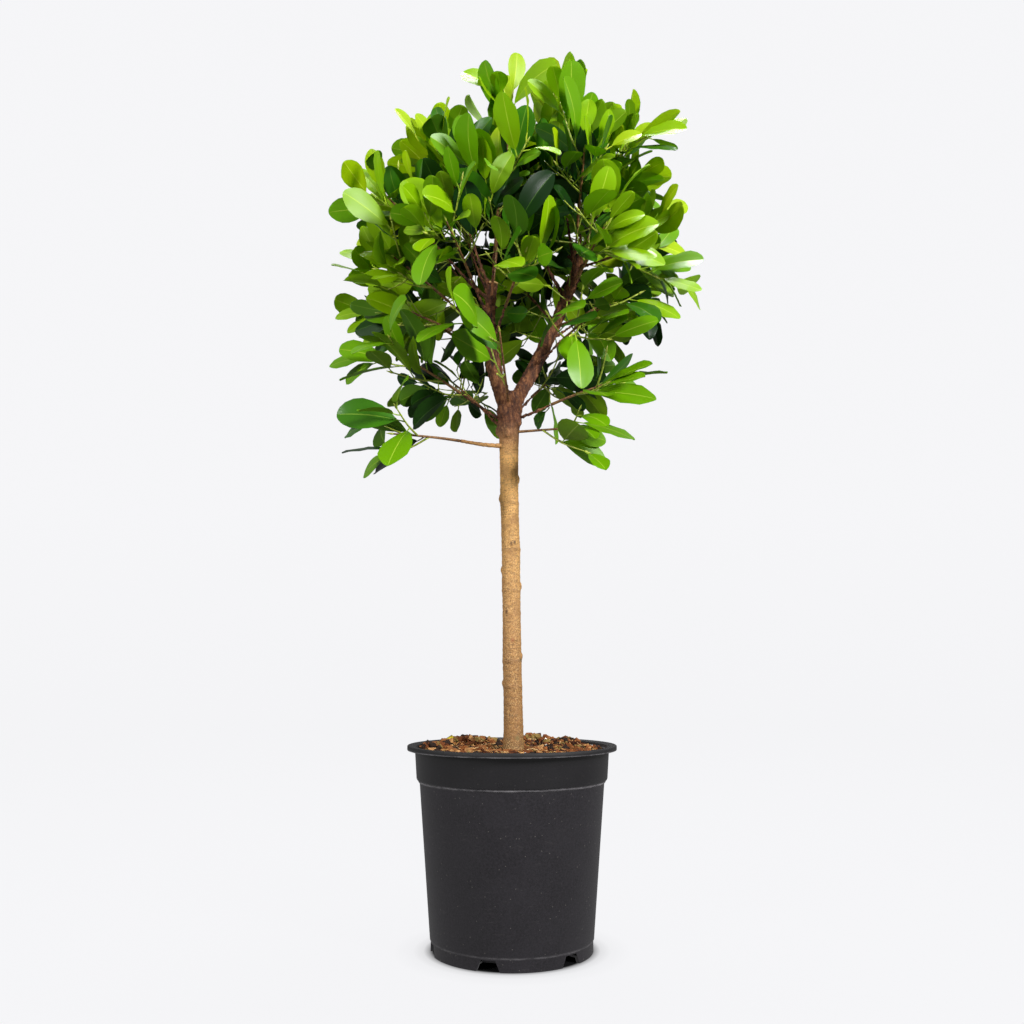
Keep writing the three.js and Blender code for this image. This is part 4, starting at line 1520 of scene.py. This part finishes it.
def smoothLine(points, count):
    # a spline through the points
    points = np.array(points, float)
    padded = np.concatenate([[2 * points[0] - points[1]], points, [2 * points[-1] - points[-2]]])
    line = []
    for share in np.linspace(0, len(points) - 1, count):
        index = min(int(share), len(points) - 2)
        t = share - index
        a, b, c, d = padded[index:index + 4]
        line.append(0.5 * (2 * b + (c - a) * t + (2 * a - 5 * b + 4 * c - d) * t ** 2
                           + (3 * b - a - 3 * c + d) * t ** 3))
    return np.array(line)


def makeBump(center, size, heading):
    activate()
    bpy.ops.mesh.primitive_uv_sphere_add(segments=14, ring_count=8, radius=1, location=Vector(center) * mm,
                                         rotation=(0, 0, math.radians(heading)))
    bump = bpy.context.active_object
    bump.scale = Vector(size) * mm
    applyPlace(bump)
    return bump


def barkMaterial():
    # fig bark: smooth pale tan with fine corky dots on the stem, rough and red-brown from the collar up
    p = barkPlan
    material, tree = newMaterial("figBark")
    place = objectPlace(tree)
    # the colour runs by height, along a ragged edge
    shifted = addMath(tree, "MULTIPLY_ADD", addNoise(tree, place, 7, 4.0), p["ragged"] * mm, heightOf(tree, place))
    foot, top = p["colorHeights"]
    share = rescale(tree, shifted, (foot * mm, top * mm))
    tan = addRamp(tree, share, [(0.0, "#67481f"), (0.08, "#845b2d"), (0.35, "#a37744"), (0.60, "#b7894c"),
                                (0.82, "#e3ab60"), (0.88, "#9c6c3b"), (0.92, "#5a381f"), (1.0, "#4a2e1c")])
    streak = addNoise(tree, place, 1.5, 7.0, 0.72)
    ringed = addNoise(tree, stretched(tree, place, (0.35, 0.35, 1.6)), 2.2, 4.0, 0.6)
    color = mixColors(tree, 1.0, tan, addRamp(tree, streak, [(0.34, 0.34), (0.47, 0.86), (0.60, 1.08)]), "MULTIPLY")
    color = mixColors(tree, 1.0, color, addRamp(tree, ringed, [(0.36, 0.6), (0.5, 1.0)]), "MULTIPLY")
    # pale speckle, brown patches and dark corky dots
    color = addLayers(tree, color, [
        (addNoise(tree, place, 0.8, 3.0, 0.6), [(0.52, 0.0), (0.66, 0.55)], "#e6bd7c"),
        (addNoise(tree, place, 12, 4.0), [(0.50, 0.0), (0.66, 0.6)], "#8a6236"),
        (addCells(tree, place, 2.1), [(0.15, 0.85), (0.25, 0.0)], "#6e4a2a"),
    ])
    factor, shift = p["markEdge"]
    for spot, size, tint in p["marks"]:
        gap = addNode(tree, "VectorMath", {"operation": "DISTANCE", 0: place, 1: [part * mm for part in spot]}, "Value")
        edge = addMath(tree, "ADD", gap, addMath(tree, "MULTIPLY_ADD", streak, factor * mm, shift * mm))
        color = mixColors(tree, rescale(tree, edge, (size * mm, size * 0.4 * mm), (0.0, 0.8)), color, tint)
    # leaf scars: thin dark rings round the stem
    stops = [(0.0, 0.0)]
    over, halfHeight, dark = p["scar"]
    for ring in p["rings"]:
        middle = (ring + over - foot) / (top - foot)
        stops += [(middle - halfHeight, 0.0), (middle, dark), (middle + halfHeight, 0.0)]
    color = addLayers(tree, color, [(share, stops, "#4d3018")])
    # higher bark is cracked, and darker in its cracks
    cracks = addNoise(tree, stretched(tree, place, (1.0, 1.0, 0.3)), 4.5, 7.0, 0.75)
    upper = rescale(tree, shifted, [height * mm for height in p["crackHeights"]])
    color = mixColors(tree, upper, color, addRamp(tree, cracks, [(0.36, "#1e0f08"), (0.5, "#57321d"),
                                                                 (0.64, "#94623b")]))
    bumped = addBump(tree, cracks, 0.9, 1.1, {"Normal": addBump(tree, streak, 0.8, 0.5)})
    addSurface(tree, {"IOR": 1.45, "Base Color": color, "Roughness": rescale(tree, upper, after=(0.62, 0.85)),
                      "Normal": bumped})
    return material


def roughen(piece):
    # fine relief all over, and deep relief that comes in above the stem's collar
    p = barkPlan
    group = piece.vertex_groups.new(name="oldBark")
    for vertex in piece.data.vertices:
        weight = min(1, (vertex.co.z / mm - p["roughFrom"]) / (p["roughFull"] - p["roughFrom"]))
        if weight > 0:
            group.add([vertex.index], weight, "REPLACE")
    fine = bpy.data.textures.new("fineBark", "CLOUDS")
    fine.noise_scale = p["fineSize"] * mm
    rough = bpy.data.textures.new("roughBark", "CLOUDS")
    rough.noise_scale = p["roughSize"] * mm
    rough.noise_depth = 4
    rough.noise_type = "HARD_NOISE"
    addModifier(piece, "DISPLACE", texture=fine, strength=p["fineRelief"] * mm, mid_level=0.5,
                texture_coords="LOCAL")
    addModifier(piece, "DISPLACE", texture=rough, strength=p["roughRelief"] * mm, mid_level=0.55,
                texture_coords="LOCAL", vertex_group="oldBark")
    applyModifiers(piece)
    activate(piece)
    bpy.ops.object.shade_smooth()


def fuse(parts, name, voxel):
    piece = joinPieces(parts, name)
    addModifier(piece, "REMESH", mode="VOXEL", voxel_size=voxel * mm)
    applyModifiers(piece)
    return piece


def limbPart(name, count, sides, swell=0):
    shares = np.linspace(0, 1, count)
    fade = barkPlan["swellFade"]
    radii = [limbs[name]["radiusAt"](share) * (1 + swell * math.exp(-share * fade)) for share in shares]
    return barkTube(name + "Part", smoothLine(limbs[name]["axis"], count), radii, sides)


def sawnEnd(limbName):
    # the left leader is sawn off: a pale flat end on its last ring
    share, thickness, raised = barkPlan["sawn"]
    axis = limbs[limbName]["axis"]
    radius = limbs[limbName]["radiusAt"](1)
    way = unit(axis[-1] - axis[-2])
    bpy.ops.mesh.primitive_cylinder_add(
        vertices=24, radius=radius * share * mm, depth=thickness * mm, end_fill_type="TRIFAN",
        location=Vector(axis[-1] + way * raised) * mm, rotation=Vector(way).to_track_quat("Z", "Y").to_euler())
    end = bpy.context.active_object
    applyPlace(end)
    end.name = "sawnEnd"
    end.data.materials.append(plainMaterial("sawnWood", "#c9a06a", 0.8))
    return end


def makeBark():
    p = barkPlan
    heights, diameters, middles = zip(*p["trunkSections"])
    radii = [diameter / 2 for diameter in diameters]
    parts = [barkTube("stemPart", [(middle, 0, height) for middle, height in zip(middles, heights)], radii,
                      p["trunkSides"])]
    for height, bearing, around, up, out in p["bumps"]:
        reach = np.interp(height, heights, radii) - out * p["bumpSink"]
        center = np.array([np.interp(height, heights, middles), 0, height]) + aim(bearing, 0) * reach
        parts.append(makeBump(center, (out, around, up), bearing))
    parts += [limbPart(name, p["leaderRings"], p["leaderSides"]) for name in ("left_leader", "right_leader")]
    for stub in stubs:
        foot, tip = stub["axis"]
        axis = bentAxis(foot, *bearingOf(tip - foot), 0, np.linalg.norm(tip - foot), len(p["stubTaper"]) - 1)
        parts.append(barkTube("stubPart", axis, [stub["radius"] * share for share in p["stubTaper"]], p["stubSides"]))
    stem = fuse(parts, "barkStem", p["stemVoxel"])
    roughen(stem)
    bark = barkMaterial()
    stem.data.materials.append(bark)
    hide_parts("trunk", "left_leader", "right_leader")
    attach(stem, "root")
    boughNames = [name for name in limbs if name.startswith("bough_")]
    parts = [limbPart(name, p["boughRings"], p["boughSides"], p["boughSwell"]) for name in boughNames]
    boughs = fuse(parts, "barkBoughs", p["boughVoxel"])
    roughen(boughs)
    boughs.data.materials.append(bark)
    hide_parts(*boughNames)
    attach(boughs, "root")
    end = sawnEnd("left_leader")
    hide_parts("left_leader")
    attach(end, "root")
    print("stage: bark,", len(stem.data.polygons), "and", len(boughs.data.polygons), "faces")


makeBark()


# Leaves: a blade of ten rows and five strips, folded a little along the midrib, on a stalk.
bladePlan = {
    "seedStep": 313,
    "stations": [0.0, 0.035, 0.12, 0.26, 0.42, 0.58, 0.73, 0.86, 0.95, 0.988],
    "columns": [-1.0, -0.52, -0.032, 0.032, 0.52, 1.0],
    "thickness": 0.42,
    "fold": (0.02, 0.30),
    "wave": (0.0, 0.07),
    "waveCount": (1.5, 3.2),
    "twist": (-16, 16),
    # the midrib lies in a groove and stands out below
    "ribHalfWidth": 0.1,
    "ribThickness": 1.5,
    "groove": 0.22,
    "slim": (0.82, 0.96),
    "broad": (0.95, 1.12),
    "broadFrom": 775,
    "tipFrom": 0.6,
    "tipTaper": (0.0, 0.42),
    "curl": 0.10,
    "sharpEdge": 62,
    "stalkFade": 0.6,
    "stalkRadius": 0.62,
    "stalkTaper": (1.25, 1.0, 0.8),
    "stalkSides": 5,
    "stalkSag": (0.1, 0.7),
    "stalkOverlap": 0.9,
    "stalkDrop": 0.35,
    "sink": 0.6,
}

# Tone: top, underside and midrib colours, and roughness of the top; the freshest first. Paler tones also stand for
# painted light and darker ones for painted shade.
tonePlan = {
    "fresh": ("#a0be03", "#9dba06", "#bccc38", 0.42),
    "bright": ("#87b203", "#88b008", "#a6c332", 0.38),
    "mid": ("#6a9f07", "#759b0f", "#93b132", 0.34),
    "deep": ("#3c7410", "#507b17", "#6b8e2a", 0.30),
    "dark": ("#103608", "#20460c", "#385c17", 0.30),
}

# How a leaf's tone follows from its place and age: by place it carries painted shade inside and low in the head and
# painted light at its edge; by age it is its own colour.
shadePlan = {
    # distance from the head's middle, as a share of its half size
    "heart": 0.42,
    "inner": 0.6,
    "halfway": 0.72,
    "outer": 0.9,
    # heights: the head's own shade ends, its lower edge begins, and nothing below the third is bright
    "shadeTop": 650,
    "edgeFoot": 560,
    "brightFoot": 555,
    # shares of the leaves that change their tone there
    "innerLow": 0.5,
    "innerHigh": 0.85,
    "halfwayShare": 0.6,
    "outerFrom": 0.6,
    # younger or older than this, the share that changes, and by how many tones
    "young": (0.35, 0.7, 1),
    "oldest": (0.6, 0.3, -2),
    "old": (0.45, 0.55, -1),
    "strayFrom": 0.88,
}


def leafMaterials(tone):
    # fig leaf: waxy cuticle above, matte below, and light comes through the thin blade
    topColor, underColor, ribColor, topRoughness = tonePlan[tone]
    made = []
    for part, color, roughness, through, bending in (
            ("Top", topColor, topRoughness, 0.38, 1.45), ("Underside", underColor, 0.5, 0.42, 1.33),
            ("Midrib", ribColor, 0.42, 0.2, 1.33)):
        material, tree = newMaterial("figLeaf" + tone.capitalize() + part)
        surface = addNode(tree, "BsdfPrincipled", {
            "Base Color": color, "Roughness": roughness, "IOR": bending, "Specular IOR Level": 0.32})
        glow = addNode(tree, "BsdfTranslucent", {"Color": color})
        addNode(tree, "OutputMaterial", {"Surface": addNode(tree, "MixShader", {0: through, 1: surface, 2: glow})})
        made.append(material)
    return made


def bladeFaces(rows, width):
    # faces of upper side and underside, row by row, and the part of the leaf that each belongs to
    top, underside, midrib = 0, 1, 2
    underStart = rows * width
    tip = underStart + rows * (width - 2)
    middleStrip = width // 2 - 1
    faces = []
    slots = []

    def underPoint(row, column):
        if column in (0, width - 1):
            return row * width + column
        return underStart + row * (width - 2) + column - 1
    for row in range(rows):
        for column in range(width - 1):
            low, onward = row * width + column, row * width + column + 1
            lowUnder, onwardUnder = underPoint(row, column), underPoint(row, column + 1)
            if row < rows - 1:
                faces.append((low, low + width, onward + width, onward))
                faces.append((lowUnder, onwardUnder, underPoint(row + 1, column + 1), underPoint(row + 1, column)))
            else:
                faces.append((low, tip, onward))
                faces.append((lowUnder, onwardUnder, tip))
            slots += [midrib, midrib] if column == middleStrip else [top, underside]
    # the base is closed, and the stalk runs into it
    faces.append(tuple(range(width)) + tuple(underPoint(0, column) for column in range(width - 2, 0, -1)))
    slots.append(midrib)
    return faces, slots


def bladeMesh(leaf, random):
    p = bladePlan
    fold = between(p["fold"], random)
    wave = between(p["wave"], random)
    waveCount = between(p["waveCount"], random)
    phase = random() * 2 * math.pi
    twist = math.radians(between(p["twist"], random))
    slim = between(p["broad"] if leaf["root"][2] > p["broadFrom"] else p["slim"], random)
    taper = between(p["tipTaper"], random)
    shares = np.array(p["stations"] + [1.0])
    columns = np.array(p["columns"])
    turn = leaf["arch"] * shares[:, None]
    bendRadius = leaf["length"] / leaf["arch"]
    middle = leaf["root"] + leaf["direction"] * (leaf["stalk"] + bendRadius * np.sin(turn))
    middle = middle + leaf["normal"] * (bendRadius * (np.cos(turn) - 1))
    straightUp = leaf["normal"] * np.cos(turn) + leaf["direction"] * np.sin(turn)
    lean = twist * shares[:, None]
    side = leaf["side"] * np.cos(lean) + straightUp * np.sin(lean)
    up = straightUp * np.cos(lean) - leaf["side"] * np.sin(lean)
    rounded = shares ** leafPlan["bladeShift"]
    halfWidth = leaf["width"] * slim * np.sqrt(np.clip(rounded * (1 - rounded), 0, 1))
    halfWidth = halfWidth * (1 - taper * np.clip((shares - p["tipFrom"]) / (1 - p["tipFrom"]), 0, 1) ** 2)
    halfWidth = np.maximum(leafPlan["stalkHalfWidth"] * (1 - shares * p["stalkFade"]), halfWidth)
    out = np.abs(columns)[None]
    onRib = out < p["ribHalfWidth"]
    wide = halfWidth[:, None]
    rise = fold * out * wide - p["curl"] * wide * out ** 2 * np.sin(shares * math.pi)[:, None]
    rise = rise + wave * wide * out * np.sin(shares[:, None] * waveCount * 2 * math.pi + phase + columns)
    rise = rise - np.where(onRib, p["groove"], 0)
    top = middle[:, None] + side[:, None] * (columns[None] * wide)[..., None] + up[:, None] * rise[..., None]
    under = top - up[:, None] * (p["thickness"] * np.where(onRib, p["ribThickness"], 1))[..., None]
    rows, width = len(shares) - 1, len(columns)
    points = np.concatenate([top[:rows].reshape(-1, 3), under[:rows, 1:-1].reshape(-1, 3), middle[rows:]])
    return (points, *bladeFaces(rows, width))


def stalkMesh(leaf, random):
    p = bladePlan
    root, direction, normal, stalk = leaf["root"], leaf["direction"], leaf["normal"], leaf["stalk"]
    middle = root + direction * stalk * 0.5 + normal * (-between(p["stalkSag"], random))
    end = root + direction * (stalk + p["stalkOverlap"]) - normal * p["stalkDrop"]
    radii = [p["stalkRadius"] * share for share in p["stalkTaper"]]
    return tube([root - direction * p["sink"], middle, end], radii, p["stalkSides"])


def pickTone(base, leaf, random):
    # a spray keeps its tone; inner leaves are painted darker as shade and outer ones paler as light, and older leaves
    # are darker, younger ones fresher
    p = shadePlan
    order = list(reversed(tonePlan))
    place = order.index(base)
    chance, second = random(), random()
    middle = leaf["samples"].mean(0)
    reach = np.linalg.norm((middle - headMiddle) / headHalf)
    low = middle[2] < p["shadeTop"]
    # painted shade inside the head, painted light at its edge
    if reach < p["inner"] and chance < (p["innerLow"] if low else p["innerHigh"]):
        place -= 1 if low else 3 if reach < p["heart"] else 2
    elif reach < p["halfway"] and chance < p["halfwayShare"]:
        place -= 1
    elif (reach > p["outer"] or p["edgeFoot"] < middle[2] < p["shadeTop"]) and chance > p["outerFrom"]:
        place += 1
    if leaf["age"] < p["young"][0] and second < p["young"][1]:
        place += p["young"][2]
    elif leaf["age"] > p["oldest"][0] and second < p["oldest"][1]:
        place += p["oldest"][2]
    elif leaf["age"] > p["old"][0] and second < p["old"][1]:
        place += p["old"][2]
    elif second > p["strayFrom"]:
        place += 1
    most = 2 if middle[2] < p["brightFoot"] else 3 if low else 4
    return order[min(most, max(0, place))]


def makeLeaves():
    byTone = {tone: [] for tone in tonePlan}
    nodesByTone = {tone: set() for tone in tonePlan}
    for mass, spray in zip(masses, sprays):
        random = seeded(mass["seed"] + bladePlan["seedStep"])
        for leaf in spray["leaves"]:
            tone = pickTone(mass["tone"], leaf, random)
            byTone[tone].append(bladeMesh(leaf, random))
            byTone[tone].append((*stalkMesh(leaf, random), 2))
            nodesByTone[tone].add(mass["name"])
    for tone, parts in byTone.items():
        name = "leaves" + tone.capitalize()
        piece = meshPiece(name, parts, leafMaterials(tone), True)
        piece.data.set_sharp_from_angle(angle=math.radians(bladePlan["sharpEdge"]))
        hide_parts(*sorted(nodesByTone[tone]))
        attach(piece, "root")
        print("stage:", name, len(piece.data.polygons), "faces")


# Twigs: round bars, rings along them and round them; a bud as far out along its way and as thick as its steps say.
barPlan = {
    "stem": (14, 7),
    "shoot": (9, 6),
    "twiglet": (6, 5),
    "stemTip": 0.85,
    "budSteps": (0, 1.6, 4.2, 7.5),
    "budRadii": (0.8, 1.15, 0.75, 0.12),
    "budSides": 6,
    "woodyLooks": [("figTwigBrown", "#5a3a20", "#8a6436", 0.6)],
    "greenLooks": [("figTwigGreen", "#6f7f22", "#9aa83a", 0.45), ("figBud", "#8f9c2c", "#b9bf55", 0.4)],
}


def twigMaterial(name, low, high, roughness):
    # fig twig: thin green skin on young wood, brown and dull on older wood
    material, tree = newMaterial(name)
    color = addRamp(tree, addNoise(tree, objectPlace(tree), 2.4, 3.0), [(0.38, low), (0.62, high)])
    addSurface(tree, {"Roughness": roughness, "IOR": 1.45, "Base Color": color})
    return material


def twigTube(twig, kind, base, tip):
    count, sides = barPlan[kind]
    return (*tube(smoothLine(twig["points"], count), np.linspace(base, tip, count), sides), 0)


def budMesh(twig):
    # a closed pointed bud at the twig's end
    end = twig["points"][-1]
    way = unit(end - twig["points"][-2])
    return (*tube([end + way * step for step in barPlan["budSteps"]], barPlan["budRadii"], barPlan["budSides"]), 1)


def makeTwigs():
    p = twigPlan
    woody, green = [], []
    for spray in sprays:
        woody.append(twigTube(spray["stem"], "stem", p["stemRadius"], barPlan["stemTip"]))
        green.append(budMesh(spray["stem"]))
        for shoot in spray["shoots"]:
            green += [twigTube(shoot, "shoot", p["shootRadius"], p["tipRadius"]), budMesh(shoot)]
        green += [twigTube(twiglet, "twiglet", finerPlan["radius"], finerPlan["tipRadius"])
                  for twiglet in spray["twiglets"]]
    nodes = [mass["name"] for mass in masses]
    for name, parts, looks in (("twigsWoody", woody, "woodyLooks"), ("twigsGreen", green, "greenLooks")):
        piece = meshPiece(name, parts, [twigMaterial(*look) for look in barPlan[looks]], True)
        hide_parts(*nodes)
        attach(piece, "root")


makeLeaves()
makeTwigs()
print("stage: leaves and twigs")
